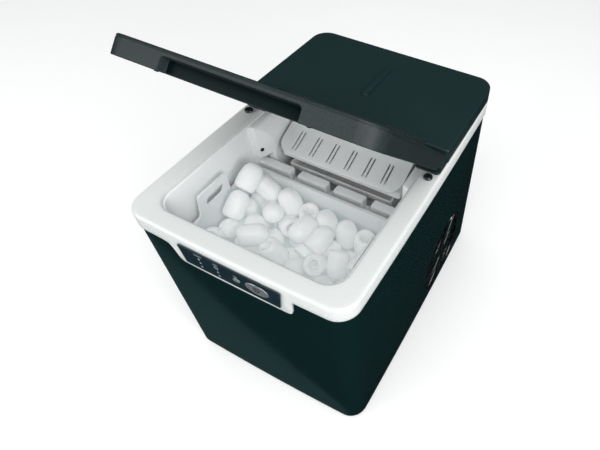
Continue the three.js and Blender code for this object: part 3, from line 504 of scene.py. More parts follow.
# Polished black acrylic over the infrared sensor: nearly black with a point of light.
sensor_glass = finish("infrared_black_acrylic", "#07090a", 0.08, 0.1, 4, 0.02)
# Polished ice with air frozen in: bright white cloud under a wet skin, clearer near the rims. A faint
# bluish-white emission is painted glow that lifts its shaded sides.
cloudy_ice_painted_glow = finish("clouded_ice_with_painted_glow", "#f8fbfb", 0.10, 0.05, 9, 0.05, 2.2, 30.0,
                    Transmission_Weight=0.15, IOR=1.31, Subsurface_Weight=0.8, Subsurface_Scale=0.008,
                    Subsurface_Radius=(0.9, 1.0, 1.0),
                    Emission_Color=(0.94, 0.98, 1.0, 1.0), Emission_Strength=0.08)


# ---- cabinet -------------------------------------------------------------------------------------

# Lower edge of the white frame along the front: it dips to carry the keypad.
TAB = np.array([
    (-82, 228), (-78, 228), (-74, 227.6), (-70.5, 226.8), (-68.2, 225), (-66.8, 222.5), (-65.5, 219),
    (-63.5, 212.5), (-62.6, 209.8), (-61, 207.2), (-58.5, 205.5), (-55, 205), (57, 205), (60, 205.5),
    (62, 207), (63, 209.5), (63.6, 213), (64.8, 226.6), (65.6, 227.8), (67, 228),
])
# Where the points of the frame's front side lie: closest together where the tab's edge bends.
FRONT_SPAN = 98.8
FRAME_FRONT = np.concatenate([
    np.linspace(-FRONT_SPAN, -83, 5), np.linspace(-82, -54, 64), np.linspace(-50, 54, 27),
    np.linspace(56, 68, 36), np.linspace(70, FRONT_SPAN, 8),
]) / FRONT_SPAN
# The two keys as X, Z, width and height, and the lights as X and Z.
POWER = (30.5, 225.0, 25.0, 14.5)
SELECT = (8.5, 224.0, 8.0, 5.5)
LIGHTS = [(-31.5, 223.2), (-31.5, 217.6), (-12.3, 222.0), (-12.3, 216.4)]
LIGHT_SIZE, KEY_GAP = 2.8, 0.8


def body_plan(inset, **points):
    """The machine's outline drawn in by inset."""
    return rounded(-HALF_WIDTH + inset, HALF_WIDTH - inset, -HALF_DEPTH + inset, HALF_DEPTH - inset,
                   CORNER - inset, bow=BOW, **points)


def keypad_holes():
    """Outlines of the openings for the keys, with their gap, and for the lights."""
    holes = [ellipse(x, z, wide + KEY_GAP, high + KEY_GAP) for x, z, wide, high in (POWER, SELECT)]
    return holes + [ellipse(x, z, LIGHT_SIZE, LIGHT_SIZE, 16) for x, z in LIGHTS]


def white_frame():
    """One closed profile carried round the machine: up the skirt, over a 3 mm edge, across the top and over
    another 3 mm edge into the mouth. Each ring is the outline drawn in by a distance, and the skirt's foot
    follows the tab's edge along the front."""

    edge = 3.0
    shoulder = RIM_TOP - edge
    underside = shoulder + 0.1

    def outer(inset):
        return body_plan(inset, front=FRAME_FRONT, turn=14)

    def mouth(grow):
        return rounded(-99.5 - grow, 99.5 + grow, -149 - grow, 64 + grow, 19 + grow, 6 + grow,
                       front=FRAME_FRONT, turn=14)

    def foot(plan):
        return np.where(plan[:, 1] < 0, np.interp(plan[:, 0], TAB[:, 0], TAB[:, 1]), RIM_LOW)

    rings = []
    for inset, lift in [(2.2, 0.6), (1.9, 0.15), (1.4, 0), (0.8, 0), (0.3, 0.15), (0, 0.6)]:
        plan = outer(inset)
        rings.append(raised(plan, foot(plan) + lift))
    plan = outer(0)
    for t in (0.3, 0.65, 1.0):
        rings.append(raised(plan, (foot(plan) + 0.6) * (1 - t) + shoulder * t))
    rings += [raised(outer(edge - edge * c), shoulder + edge * s) for c, s in quarter(7)[1:]]
    rings += [raised(outer(5), RIM_TOP), raised(mouth(6), RIM_TOP)]
    rings += [raised(mouth(edge - edge * s), shoulder + edge * c) for c, s in quarter(8)]
    rings += [raised(mouth(0.3), shoulder - 0.02), raised(mouth(6), underside)]
    rings += [raised(outer(5), underside), raised(outer(2.2), underside)]
    made = make("white_frame", skin(rings, loop=True), white_abs, "cabinet", ["top_frame"])
    return carve(made, [plate(hole, [], -175, -160, 1) for hole in keypad_holes()])


def cabinet_wall():
    """A closed band: the plan outline swept up the outside, over a small lip and down the inside. The back
    is cut open for its panel, the front for the frame's tab, and the sides for the vent and the louvres."""

    def wall(inset, z):
        return raised(body_plan(1.5 + inset, sides=35, turn=14), z)

    levels = np.linspace(0.9, 227.1, 24)
    rings = [wall(0.5, 0.4)] + [wall(0, z) for z in levels] + [wall(0.5, 227.6), wall(1.9, 227.6)]
    rings += [wall(2.4, z) for z in levels[::-1]] + [wall(1.9, 0.4)]
    made = make("cabinet_wall", skin(rings, loop=True), gloss_abs, "cabinet", ["cabinet_shell"])
    window = np.column_stack([TAB[:, 0] + 0.7 * np.sign(TAB[:, 0]), TAB[:, 1] - 0.7])
    window = np.vstack([[(-83.5, 236)], window, [(68.5, 236)]])
    vent = rod(FAN_RADIUS, 100, 130, 96, 0, FAN_CENTRE)
    louvres = [smoothed(oblong(26, 96, z, z + 5), 2.4) for z in range(26, 104, 11)]
    cuts = [box(-97, 97, 100, 200, -2, 230), plate(window, [], -175, -150, 1), vent]
    return carve(made, cuts + [plate(louvre, [], -130, -100, 0) for louvre in louvres])


def flat_pieces():
    """Sheets cut to an outline with holes: the back panel with its slots and the keypad film."""
    holes = [
        smoothed(oblong(x - 26, x + 26, z - 2.5, z + 2.5), 2.4)
        for x in (-34, 34) for z in range(100, 191, 18)
    ]
    holes += [ellipse(-80, 32, 18, 18), ellipse(78, 34, 14.4, 14.4)]
    panel = plate(smoothed(oblong(-102, 102, 14, 226), 3), holes, 160.5, 162.9, 1)
    soften(make("rear_panel", panel, satin_abs, "cabinet", ["back_panel"]), 0.4)
    film = smoothed([(-51.4, 212.5), (53, 212.5), (56.6, 237.6), (-54.2, 237.6)], 2.0)
    face = plate(film, keypad_holes(), -170.6, -169.4, 1)
    soften(make("keypad_film", face, navy_film, "cabinet", ["control_overlay"]), 0.3)


def base_and_feet():
    """The pan is a folded tray: rings go up the outside, over the rim and down to the floor inside."""

    def wall(inset, z):
        return raised(body_plan(4.3 + inset), z)

    rings = [wall(1, 0), wall(0, 1), wall(0, 11.7), wall(0.4, 12), wall(1.6, 12), wall(2, 11.7), wall(2, 3)]
    made = make("steel_pan", skin(rings + [wall(3, 2)]), galvanised, "cabinet", ["base_pan"])
    carve(made, [box(-99, 99, 150, 200, 2.2, 14)])
    profile = [
        (0, -6.7), (4, -6.7), (4.4, -7), (8.4, -7), (9.4, -6.6),
        (10.8, -5.4), (11, -4.8), (11, -0.9), (10.6, -0.4), (0, -0.4),
    ]
    for name, x, y in [("front_left", -96, -142), ("front_right", 96, -142),
                       ("back_left", -96, 142), ("back_right", 96, 142)]:
        make("rubber_foot_" + name, turned(profile, at=(x, y, 0)), rubber, "cabinet", ["foot_" + name])


def rear_hood():
    """Rings of the rear outline rise to a 2 mm edge and a flat top, set back between the hinges. A
    pill-shaped rib, the hinge ears and their knuckles are a second piece."""
    edge = 2.0
    shoulder = COVER_TOP - edge

    def wall(i, z):
        plan = rounded(-COVER_HALF + i, COVER_HALF - i, 29 + i, COVER_END - i, 3 - i, 20 - i, turn=14)
        return raised(plan, z)

    rings = [wall(0.6, 246.4)] + [wall(0, z) for z in (247, 252, 257, shoulder)]
    rings += [wall(edge - edge * c, shoulder + edge * s) for c, s in quarter(6)[1:]]
    rings += [wall(4, COVER_TOP), wall(12, COVER_TOP)]
    made = make("rear_hood", skin(rings), satin_abs, "cabinet", ["rear_cover"])
    carve(made, [box(-92, 92, 20, 35, 240, 270)])
    soften(made, 0.5, 2, 50)
    y, z = HINGE[1:]
    half = 3.2
    knuckle = np.vstack([
        [(y + half, 247.4), (y + half, z)],
        [(y + half * c, z + half * s) for c, s in quarter(13, 0, 180)[1:-1]],
        [(y - half, z), (y - half, 247.4)],
    ])
    parts = [slab(-4.4, 3.6, 68, 129, COVER_TOP - 1.4, COVER_TOP + 1.9, 3.9, 0.7, turn=12)]
    for side in (-1, 1):
        parts.append(slab(*sorted((side * 91, side * 119)), 9, 32, 246.4, 248.9, 4, 0.8))
        sides = sorted((side * (HINGE_X - 2), side * (HINGE_X + 2)))
        parts.append(plate(knuckle, [ellipse(y, z, 3.8, 3.8, 24)], *sides, 0))
    made = make("hood_rib_and_ears", gather(*parts), satin_abs, "cabinet", ())
    return soften(made, 0.3, 2, 60)


def screws():
    """Two pan heads turned from their profile, each with a cross cut into its crown."""
    profile = [
        (0, 0), (2, 0), (2, 5), (4.4, 5), (4.8, 5.3), (4.8, 6.3), (4.3, 7.2), (3.2, 7.7), (0, 7.85),
    ]
    for name, x in (("left", -SCREW_X), ("right", SCREW_X)):
        made = make("pan_head_screw_" + name, turned(profile, at=(x, SCREW_Y, 241.4)), black_oxide,
                    "cabinet", ["frame_screw_" + name])
        carve(made, [
            slab(x - a, x + a, SCREW_Y - b, SCREW_Y + b, 247.7, 251, 0.3, 0.2)
            for a, b in ((0.5, 2.6), (2.6, 0.5))
        ])


def keys():
    """Each key is an oval dome: ellipses shrink over a rounded edge, then dip by 0.25 mm in the middle."""
    for name, node, body, key in [("power_key_cap", "power_button", "power_key", POWER),
                                  ("select_key_cap", "select_button", "select_key", SELECT)]:
        x, z, wide, tall = key
        rings = []
        for inset, y in [(0, -164.6), (0, -170.2), (0.1, -170.6), (0.35, -170.95),
                         (0.8, -171.15), (1.2, -171.2), (1.6, -171.1), (2.2, -170.95)]:
            plan = ellipse(x, z, wide - 2 * inset, tall - 2 * inset, 64)
            rings.append(np.column_stack([plan[:, 0], np.full(64, y), plan[:, 1]]))
        make(name, skin(rings), silver_paint, body, [node])
    x, z = POWER[:2]
    face = -170.97
    arc = [(x + 2.7 * s, face, z - 2.7 * c) for c, s in quarter(25, -140, 140)]
    bar = [(x, face, z + h) for h in (0.4, 1.5, 2.6, 3.6)]
    sign = gather(tube(arc, 0.55, 8, 0.4), tube(bar, 0.55, 8, 0.4))
    make("power_sign", sign, print_ink, "power_key")


def printed_marks():
    """Plain signs on the film: a drop of water, an ice cube and short bars, each a sheet 0.05 mm proud."""
    a = full_turn(28)
    drop = np.column_stack([-31.5 + 1.5 * np.sin(a) * np.sin(a / 2) ** 1.5, 229.6 + 2.1 * np.cos(a)])
    cube = smoothed(oblong(-14.3, -10.3, 227, 231), 0.6)
    inside = smoothed(oblong(-13.5, -11.1, 227.8, 230.2), 0.4)
    shapes = [(drop, []), (cube, [inside])]
    for x, z, long in [(-31.5, 233.6, 9), (-12.3, 233.2, 5), (8.5, 229.2, 4.6)]:
        shapes.append((smoothed(oblong(x - long / 2, x + long / 2, z, z + 0.9), 0.4), []))
    parts = [plate(outer, holes, -170.65, -170.58, 1) for outer, holes in shapes]
    make("film_marks", gather(*parts), pale_ink, "cabinet")


# ---- lid -----------------------------------------------------------------------------------------

# Where the points of the lid's front side lie: closest together at the sides of its finger notch.
LID_SPAN = 99.5
LID_FRONT = np.concatenate([
    np.linspace(-LID_SPAN, -66, 12), np.linspace(-64.5, -58.5, 22), np.linspace(-57, 57, 39),
    np.linspace(58.5, 64.5, 22), np.linspace(66, LID_SPAN, 12),
]) / LID_SPAN


def finger_notch(x, z):
    """How far the skirt is pressed in: 8 mm inside a rounded rectangle 123 mm wide with its top 5 mm below
    the lid's, easing in over the first 1.8 mm inside its rim."""
    r = 4.0
    dx, dz = np.abs(x) - (61.5 - r), z - (COVER_TOP - 5 - r)
    reach = np.hypot(np.maximum(dx, 0), np.maximum(dz, 0)) + np.minimum(np.maximum(dx, dz), 0) - r
    return 8 * ease(np.clip(-reach / 1.8, 0, 1))


def lid_cup():
    """A hollow cup drawn closed: from the ceiling down the inside, round the lip, up the skirt, across a fine
    groove under the top plate and over a 2 mm edge. The lip steps up by 3.2 mm near the hinge."""
    edge = 2.0

    def wall(inset, z):
        plan = rounded(-COVER_HALF + inset, COVER_HALF - inset, -COVER_END + inset, 23.6 - inset,
                       20 - inset, 3 - inset, front=LID_FRONT, turn=14, sides=41)
        low = LID_LOW + 3.2 * ease(np.clip((plan[:, 1] + 1) / 6, 0, 1))
        stretched = low + (z - LID_LOW) * (LID_GROOVE - low) / (LID_GROOVE - LID_LOW)
        height = np.where(z < LID_GROOVE, stretched, z)
        front = np.arange(len(plan)) < len(LID_FRONT)
        plan[:, 1] += np.where(front, finger_notch(plan[:, 0], height), 0)
        return raised(plan, height)

    levels = np.concatenate([
        np.linspace(247.5, 252, 4), np.linspace(253, 259.8, 28), np.linspace(260.3, 260.9, 2),
    ])
    rings = [wall(4, 261.5), wall(2.4, 261.2)] + [wall(2.4, z) for z in levels[::-1]]
    rings += [wall(1.9, LID_LOW), wall(0.5, LID_LOW)] + [wall(0, z) for z in levels]
    rings += [wall(0, 261.2), wall(0.5, 261.35), wall(0.5, 261.7), wall(0, 261.9)]
    rings += [wall(edge - edge * c, COVER_TOP - edge + edge * s) for c, s in quarter(6)]
    made = make("lid_cup", skin(rings + [wall(4, COVER_TOP)]), grained_abs, "lid", ["lid_shell"],
                lid=True)
    slots = [box(x - 2.8, x + 2.8, 15, 30, 240, 261.5) for x in (-HINGE_X, HINGE_X)]
    bores = [rod(1.9, x - 8, x + 8, 24, 0, HINGE) for x in (-HINGE_X, HINGE_X)]
    carve(made, [(open_lid(points), faces) for points, faces in slots] + bores)
    # A thin near-black sheet of painted shade lines the back of the finger notch and stands in for the shadow
    # that falls there.
    recess = slab(-60.3, 60.3, -160.4, -159.6, 247.7, 257.8, 0.3, 0.2)
    make("finger_recess_painted_shade", recess, painted_shade_abs, "lid", (), lid=True)
    bosses = [
        slab(x - 1.6, x + 1.6, 16, 22, 254.5, 261.6, 0.6, 0.4)
        for x in (-HINGE_X - 5, -HINGE_X + 5, HINGE_X - 5, HINGE_X + 5)
    ]
    made = make("lid_hinge_bosses", gather(*bosses), grained_abs, "lid", (), lid=True)
    carve(made, bores)


def lid_details():
    """The inner panel is a sheet with its middle pressed up by 1 mm; the pegs and pins are turned."""

    def sheet(i, z):
        return raised(rounded(-116 + i, 116 - i, -156.4 + i, -6 - i, 6 - i, 4 - i), z)

    rings = [sheet(15, 249.4), sheet(13.5, 249.1), sheet(12, 248.4), sheet(0.5, 248.4), sheet(0, 248.8),
             sheet(0, 250), sheet(0.4, 250.4)]
    make("lid_liner", skin(rings), satin_abs, "lid", ["lid_inner_panel"], lid=True)
    peg = [(0, 246.3), (1.2, 246.35), (1.8, 246.7), (2, 247.3), (2, 252), (0, 252)]
    pin = [(0, -6.5), (1.3, -6.5), (1.6, -6.2), (1.6, 6.2), (1.3, 6.5), (0, 6.5)]
    for side, x in (("left", -1), ("right", 1)):
        make("lid_peg_" + side, turned(peg, 24, at=(67 * x, -162, 0)), rubber, "lid",
             ["lid_bumper_" + side], lid=True)
        make("steel_pin_" + side, turned(pin, 24, 0, HINGE + [HINGE_X * x, 0, 0]), bright_steel, "cabinet",
             ["hinge_pin_" + side])


# ---- tub, basket and ice -------------------------------------------------------------------------


def tub_walls():
    """One closed skin: the inside from the sump floor up two drafted steps to the flange, then the same steps
    down the outside, 2.4 mm away. The toothed wall and the ledges under the basket are a second piece, and
    the collar round the drain is a third."""
    wall, step, top = 2.4, 150.0, 241.4

    def upper(grow, z):
        d = 3 * (243 - z) / 93 - grow
        return raised(rounded(-98 + d, 98 - d, -148 + d, 62 - d, 18 - d, 3 - d, turn=14), z)

    def sump(grow, z):
        d = 1.5 * (step - z) / 76 - grow
        return raised(rounded(-94 + d, 94 - d, -144 + d, -14.5 - d, 17 - d, 8 - d, turn=14), z)

    inside = [sump(-4, 74)] + [sump(-4 + 4 * s, 78 - 4 * c) for c, s in quarter(5)[1:]]
    inside += [sump(0, z) for z in (100, 125, 149.2)] + [sump(0.4, step)]
    inside += [upper(-0.8, step), upper(-0.2, step + 0.3)]
    inside += [upper(0, z) for z in (151, 165, 180, 195, 210, 225, 238, top)]
    inside += [upper(1.4 - 1.4 * c, top + 1.4 * s) for c, s in quarter(5)[1:]]
    rim = [raised(rounded(-106, 106, -155, 72, 22, 6, turn=14), z) for z in (242.8, 240.5)]
    outside = [upper(wall, z) for z in (240.5, 200, step - wall)]
    outside += [sump(wall, z) for z in (step - wall, 100, 75)] + [sump(-2, 71.6)]
    made = make("tub_walls", skin(inside + rim + outside), liner_abs, "cabinet", ["tub_liner"])
    drains = [rod(4.5, 55, 76, at=DRAIN)]
    drains += [plate(ellipse(x, z, d, d, 32), [], 55, 66, 1) for x, z, d in BACK_HOLES]
    carve(made, drains)
    parts = [slab(-96.5, 96.5, -14.5, -3, 149, 175, 0.8, 0.6)]
    for left, right in ((-96.3, -53), (-43, -5), (5, 43), (53, 96.3)):
        parts.append(slab(left, right, -14.5, -3, 172, 190, 2.0, 1.5))
    parts += [slab(x - 5.9, x + 5.9, -110, -40, 73, 97.6, 1.5, 0.8) for x in (-89, 89)]
    make("tub_teeth", gather(*parts), liner_abs, "cabinet", ())
    points, faces = turned([(4.5, 60), (8, 60), (8, 73), (4.5, 73), (4.5, 60)], 32, at=DRAIN)
    make("tub_drain_collar", (points, faces[:-2]), liner_abs, "cabinet", ())


def basket():
    """A drafted bin: up the outside, over a rolled lip that stands out 1.8 mm and down the inside. Its floor
    has eight drain holes. Two grips rise from its sides, each a sheet with a finger slot."""
    sheet, floor, lip = 2.2, 98.0, 197.0

    def wall(inset, z):
        d = 3 * (lip - z) / (lip - floor) + inset
        return raised(rounded(-90 + d, 90 - d, -140.5 + d, -28 - d, 18 - d, 4 - d, turn=14), z)

    rings = [wall(4, floor)] + [wall(4 - 4 * s, floor + 4 - 4 * c) for c, s in quarter(5)[1:]]
    rings += [wall(0, z) for z in (125, 150, 175, 194.6)]
    rings += [wall(-1.5, 195), wall(-1.8, 195.3), wall(-1.8, 196.7), wall(-1.5, lip)]
    rings += [wall(1.9, lip)] + [wall(sheet, z) for z in (196.7, 196, 175, 150, 125, 105)]
    rings += [wall(sheet + 4 * s, floor + sheet + 4 * (1 - c)) for s, c in quarter(5)]
    made = make("ice_bin", skin(rings), basket_pp, "basket", ["ice_basket"])
    carve(made, [rod(3, 95, 104, 24, at=(x, y, 0)) for x in range(-60, 61, 40) for y in (-110, -60)])
    grip = smoothed([
        (-128, 192), (-121, 196.4), (-116.5, 200), (-112, 223.6), (-71, 223.6), (-71, 192),
    ], 3.0)
    slot = smoothed([(-104, 205), (-83, 205), (-79, 209), (-79, 214), (-101, 214), (-104, 211)], 1.2)
    sheets = [plate(grip, [slot], *sorted((side * 87.8, side * 90.0)), 0) for side in (-1, 1)]
    soften(make("bin_grips", gather(*sheets), basket_pp, "basket", ()), 0.6, 3)


def settled_balls(count=88, seed=11, radius=11.7, apart=9.0):
    """Each piece of ice is two balls a fixed distance apart. Round after round every ball moves down a
    little, balls that overlap push each other away, the bin pushes back, and each pair regains its length."""
    rng = np.random.default_rng(seed)
    # The room inside the bin, with a tall space above it that the pieces fall through.
    low = np.array([-84.5, -135.5, 100.4]) + radius
    high = np.array([84.5, -33.5, 520.0]) - radius
    highest_start = 440
    centre = rng.uniform(low, [high[0], high[1], highest_start], (count, 3))
    lean = rng.normal(size=(count, 3))
    lean /= np.linalg.norm(lean, axis=1)[:, None]
    balls = np.stack([centre - lean * apart / 2, centre + lean * apart / 2], 1)
    owner = np.repeat(np.arange(count), 2)
    other = owner[:, None] != owner[None, :]
    drift = np.array([-0.08, 0.11, -1.0])
    give = 0.42
    for fall in np.concatenate([np.full(420, 1.1), np.linspace(1.0, 0.05, 260), np.full(60, 0.02)]):
        flat = balls.reshape(-1, 3) + drift * fall
        away = flat[:, None] - flat[None, :]
        reach = np.linalg.norm(away, axis=2) + 1e-9
        push = np.where(other, np.clip(2 * radius - reach, 0, None), 0)
        flat = flat + (away / reach[..., None] * push[..., None]).sum(1) * give
        balls = np.clip(flat, low, high).reshape(count, 2, 3)
        middle = balls.mean(1, keepdims=True)
        axis = balls[:, 1] - balls[:, 0]
        axis /= np.linalg.norm(axis, axis=1)[:, None] + 1e-6
        balls = middle + axis[:, None] * np.array([-0.5, 0.5])[None, :, None] * apart
    return balls


def ice_heap():
    """Hollow bullets: a profile from the bottom of the bore, over a rounded rim and down to a domed tip,
    turned about each piece's own axis. A slow sine swell of 0.35 mm keeps them from being perfectly round."""
    rng = np.random.default_rng(3)
    profile = np.array([
        (0.3, 10), (2.6, 10.4), (4.0, 12.4), (4.6, 17), (5.0, 24), (5.3, 29), (6.2, 31.2),
        (7.8, 32.2), (9.6, 31.8), (11.0, 30.2), (11.8, 27), (12.1, 21), (12.1, 15), (11.7, 10),
        (10.6, 6), (8.8, 3), (6.4, 1.1), (3.4, 0.2), (0.3, 0),
    ])
    radius, height = profile[:, :1], profile[:, 1:]
    middle = 16
    away = radius > 3
    a = full_turn(28)
    parts = []
    for pair in settled_balls():
        axis = pair[1] - pair[0]
        axis /= np.linalg.norm(axis)
        if rng.random() < 0.5:
            axis = -axis
        across = np.cross(axis, [0.31, 0.87, 0.38])
        across /= np.linalg.norm(across)
        beside = np.cross(axis, across)
        phase = rng.uniform(0, 6.3, 3)
        size = rng.uniform(0.95, 1.0)
        swell = 0.35 * np.sin(2 * a + phase[0])[None] * np.sin(height / 9 + phase[1])
        r = size * (radius + swell * away)
        h = size * (height - middle) + 0.3 * np.sin(a + phase[2])[None] * away
        x, y = r * np.cos(a), r * np.sin(a)
        rings = x[..., None] * across + y[..., None] * beside + h[..., None] * axis
        parts.append(skin(rings + pair.mean(0)))
    # The ice's material carries a faint painted glow from its emission, not from a lamp.
    return make("ice_heap", gather(*parts), cloudy_ice_painted_glow, "basket", crisp=75)


# ---- ice making and cooling ----------------------------------------------------------------------


def shovel():
    """A section in Y and Z carried along X: the sloping plate, a rounded nose and a bowed blade below it.
    Near each end the nose follows a plan circle of 16 mm, so a point's Y is never less than that circle's."""
    front, height, slope, thick = -1, 207, 0.39, 2.7
    straight, nose = 62.5, 16

    def plane(y):
        return height + (y - front) * slope

    def bend(*corners):
        return parabola(*np.array(corners), np.linspace(0, 1, 10)[:, None])

    top, under, lip = np.linspace(52, 0.4, 14), np.linspace(13, 53, 8), np.linspace(0.2, 7, 4)
    over = np.vstack([
        np.column_stack([top, plane(top)]), [(-0.3, 207.15), (-0.8, 206.75), (-1, 206.2), (-0.7, 205.5)],
        np.column_stack([lip, plane(lip) - thick]),
    ])
    blade = np.vstack([
        bend((8, 206.6), (11.2, 200), (7.4, 192.3)), [(7.9, 191.9), (9.6, 191.9)],
        bend((10, 192.3), (13.8, 200), (11, 207.4)),
    ])
    back = np.vstack([np.column_stack([under, plane(under) - thick]), [(53, plane(53) - 1.4)]])
    section = np.vstack([over, blade, back])
    on_plate = np.r_[np.arange(len(over)), np.arange(len(section) - len(back), len(section))]
    a = np.linspace(0, math.pi / 2, 12)
    x = np.concatenate([
        -straight - nose * np.sin(a[::-1]), np.linspace(-58, 58, 25), straight + nose * np.sin(a),
    ])
    turn = np.clip((np.abs(x) - straight) / nose, 0, 1)
    edge = front + nose * (1 - np.sqrt(1 - turn * turn))
    y = np.maximum(section[None, :, 0], edge[:, None])
    z = np.repeat(section[None, :, 1], len(x), 0)
    z[:, on_plate] += slope * (y - section[None, :, 0])[:, on_plate]
    rings = np.stack([np.repeat(x[:, None], len(section), 1), y, z], -1)
    made = make("shovel_plate", skin(rings), shovel_pom, "shovel", ["ice_shovel"])
    middles = [(i - 2.5) * 23 + side for i in range(6) for side in (-2.3, 2.3)]
    slots = [plate(smoothed(oblong(m - 1, m + 1, 4.5, 29), 0.8), [], 207.6, 235, 2) for m in middles]
    return soften(carve(made, slots), 0.25, 1, 60)


def cheek_housings():
    """Each cheek is a stack of plan outlines on a plain block. Below 210 mm the outline has a wide bevel at
    its inner front corner, and above that the bevel closes and the inner side leans outwards until the flat
    crest. A sensor's seat is bored square to each bevel, and the tray's pivots are bored across. The back
    wall between the cheeks is a second piece."""
    inner, outer, front, back = 82.5, 99.6, -17, 57.8
    bevel = np.array([9.5, 20])
    parts, bores = [], []
    for side in (-1, 1):
        rings = []
        steps = [(3 - 3 * s, 199 - 3 * c) for c, s in quarter(5)]
        steps += [(0, z) for z in np.linspace(202, 238, 10)]
        steps += [(2.5 - 2.5 * c, 238.5 + 2.5 * s) for c, s in quarter(6)]
        for inset, z in steps:
            t = min(max((z - 210) / 30, 0), 1)
            t = t * t * (1.6 - 0.6 * t)
            near = inner + 7.5 * t + inset
            plan = smoothed([
                (outer, front + inset), (inner + bevel[0] - 0.2 * t - 0.4 * inset, front + inset),
                (near, front + bevel[1] - 16 * t + inset), (near, back), (outer, back),
            ], 3.2 - 0.9 * inset, 8)
            rings.append(raised(plan * [side, 1], z))
        parts.append(skin(rings))
        parts.append(slab(*sorted((side * inner, side * 93.5)), 0, 57.6, 154, 200, 2, 1))
        turn = math.atan2(*bevel) * side + (math.pi if side > 0 else 0)
        c, s = math.cos(turn), math.sin(turn)
        points, faces = rod(2.6, -5, 12, axis=0)
        x, y, z = points.T
        points = np.column_stack([c * x - s * y, s * x + c * y, z])
        bores.append((points + [side * 89.34, -11.4, 208], faces))
    bores += [rod(4.4, x - 9, x + 9, axis=0, at=TRAY_PIVOT) for x in (-88, 88)]
    made = make("cheek_housings", gather(*parts), liner_abs, "cabinet", ["evaporator_frame"])
    carve(made, bores)
    holes = [ellipse(x, z, d, d, 24) for x, z, d in BACK_HOLES]
    wall = plate(oblong(-93.5, 93.5, 154, 240), holes, 55.4, back, 1)
    soften(make("cheek_back_wall", wall, liner_abs, "cabinet", ()), 0.5)


def vent_grille():
    """Sixteen ribs leave a small hub and swirl out to the rim: each is the parabola drawn from (6, 0) towards
    (30, 0) and out to (50.8, -17.4), turned by 22.5 degrees more than the last."""
    ribs, face = 16, 118.15
    t = np.linspace(0, 1, 22)[:, None]
    reach, lean = parabola(np.array([6, 0]), np.array([30, 0]), np.array([50.8, -17.4]), t).T
    hub = [(0, 117.2), (8, 117.2), (8, 118.2), (6.5, 118.9), (3, 119.2), (0, 119.25)]
    parts = [turned(hub, 48, 0, FAN_CENTRE)]
    for turn in np.arange(ribs) * 2 * math.pi / ribs:
        y = reach * math.cos(turn) - lean * math.sin(turn)
        z = reach * math.sin(turn) + lean * math.cos(turn)
        parts.append(tube(np.column_stack([np.full(len(y), face), y, z]) + FAN_CENTRE, 1.0, 10))
    a = full_turn(96)
    for r, thick, flat in ((53.6, 1.9, 0.55), (30.2, 0.8, 1.0)):
        ring = np.column_stack([np.full(len(a), face), r * np.cos(a), r * np.sin(a)]) + FAN_CENTRE
        parts.append(tube(ring, thick, 14, flat, closed=True))
    make("vent_grille", gather(*parts), rib_abs, "cabinet", ["fan_guard"])


def refined(node, surface, body, width):
    """A CAD node's mesh with its doubles merged and its flat faces joined, so that a radius of this width
    can run along its edges."""
    name = "smooth_" + node
    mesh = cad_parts[node].data.copy()
    mesh.name = name
    cleaned(mesh, 50.0, join_flat=True)
    mesh.materials.clear()
    mesh.materials.append(surface)
    made = link(name, mesh)
    enlist(made, body, [node])
    if width:
        soften(made, width, 2, 45)


# ---- studio --------------------------------------------------------------------------------------


def pale_floor():
    """A matt white floor that glows a little, and that reflections don't see."""
    bpy.ops.mesh.primitive_plane_add(size=6)
    floor = bpy.context.object
    floor.name = "floor"
    floor.data.materials.append(finish("matt_white_paper", "#f6f7f7", 0.9, 0.01, 200,
                                       Emission_Color=(1, 1, 1, 1), Emission_Strength=0.10))
    floor.visible_glossy = False


def dim_card():
    """A dim card flat on the floor along the front of the machine, which only reflections see."""
    points = np.array([(104, -173, 0.6), (104, -168, 0.6), (-320, -168, 0.6), (-320, -252, 0.6)])
    mesh = bpy.data.meshes.new("floor_card")
    mesh.from_pydata((points * MM).tolist(), [], [(0, 1, 2, 3)])
    mesh.materials.append(finish("dim_teal_card", "#000000", 0.9, 0.0, 200, Specular_IOR_Level=0.0,
                                 Emission_Color=(0.6, 1, 1, 1), Emission_Strength=0.085))
    card = link("floor_card", mesh)
    card.visible_camera = card.visible_diffuse = card.visible_shadow = card.visible_transmission = False


def surround(bright, reflected):
    """An even white light all round, which reflections see at a strength of its own."""
    world = bpy.data.worlds.new("studio")
    bpy.context.scene.world = world
    world.use_nodes = True
    tree = world.node_tree
    sky = tree.nodes["Background"]
    sky.inputs["Color"].default_value = (1, 1, 1, 1)
    seen = add(tree, "ShaderNodeLightPath").outputs["Is Glossy Ray"]
    glow = add(tree, "ShaderNodeMapRange", {"Value": seen, "To Min": bright, "To Max": reflected})
    tree.links.new(glow.outputs["Result"], sky.inputs["Strength"])


# ---- the whole machine ---------------------------------------------------------------------------

stand_camera()
white_frame()
cabinet_wall()
flat_pieces()
base_and_feet()
rear_hood()
screws()
keys()
printed_marks()
lid_cup()
lid_details()
tub_walls()
basket()
ice_heap()
cheek_housings()
shovel()
vent_grille()

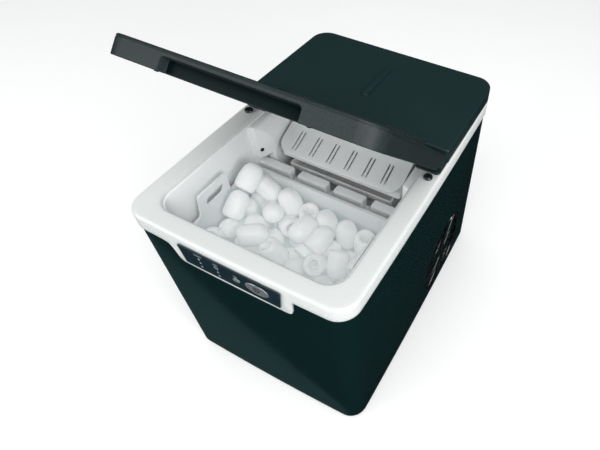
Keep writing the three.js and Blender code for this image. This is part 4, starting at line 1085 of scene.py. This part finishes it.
for node, surface, body, slot, width in [
    ("light_guide", guide_acrylic, "cabinet", "indicator_lens", 0.0),
    ("control_board", solder_mask, "cabinet", "circuit_board", 0.2),
    ("power_board", solder_mask, "cabinet", "circuit_board", 0.2),
    ("foam_jacket", bead_foam, "cabinet", "foam_white", 1.0),
    ("evaporator", nickel, "cabinet", "nickel_plate", 0.3),
    ("water_tray", liner_abs, "tray", "inner_white", 0.5),
    ("tray_motor", bright_steel, "cabinet", "motor_steel", 0.6),
    ("ice_sensor_left", sensor_glass, "cabinet", "sensor_black", 0.2),
    ("ice_sensor_right", sensor_glass, "cabinet", "sensor_black", 0.2),
    ("compressor", powder_coat, "cabinet", "compressor_black", 1.0),
    ("condenser", mill_aluminium, "cabinet", "fin_aluminium", 0.2),
    ("fan_shroud", filled_nylon, "cabinet", "duct_black", 0.5),
    ("fan_motor", bright_steel, "cabinet", "motor_steel", 0.4),
    ("fan_rotor", filled_nylon, "fan", "duct_black", 0.3),
    ("suction_pipe", copper, "cabinet", "copper_pipe", 0.0),
    ("discharge_pipe", copper, "cabinet", "copper_pipe", 0.0),
    ("filter_drier", copper, "cabinet", "copper_pipe", 0.4),
    ("capillary_tube", copper, "cabinet", "copper_pipe", 0.0),
    ("water_pump", white_abs, "cabinet", "pump_white", 0.5),
    ("pump_hose", silicone, "cabinet", "silicone_hose", 0.0),
    ("fill_spout", white_abs, "cabinet", "pump_white", 0.3),
    ("drain_hose", silicone, "cabinet", "silicone_hose", 0.0),
    ("drain_spigot", white_abs, "cabinet", "pump_white", 0.3),
    ("drain_cap", rubber, "drain_plug", "foot_rubber", 0.5),
    ("cord_gland", rubber, "cabinet", "foot_rubber", 0.4),
]:
    refined(node, surface, body, width)

pale_floor()
dim_card()
surround(0.66, 0.008)
softbox("overhead_softbox", (0.45, -0.5, 1.4), (0, 0, 0.2), 1.2, 0.8, 9)
softbox("left_softbox", (-1.0, -1.1, 0.9), (0, 0, 0.2), 0.8, 0.9, 6)
softbox("right_softbox", (1.3, -0.7, 0.8), (-0.05, -0.05, 0.22), 0.8, 0.8, 9)
bpy.context.scene.view_settings.view_transform = "Standard"
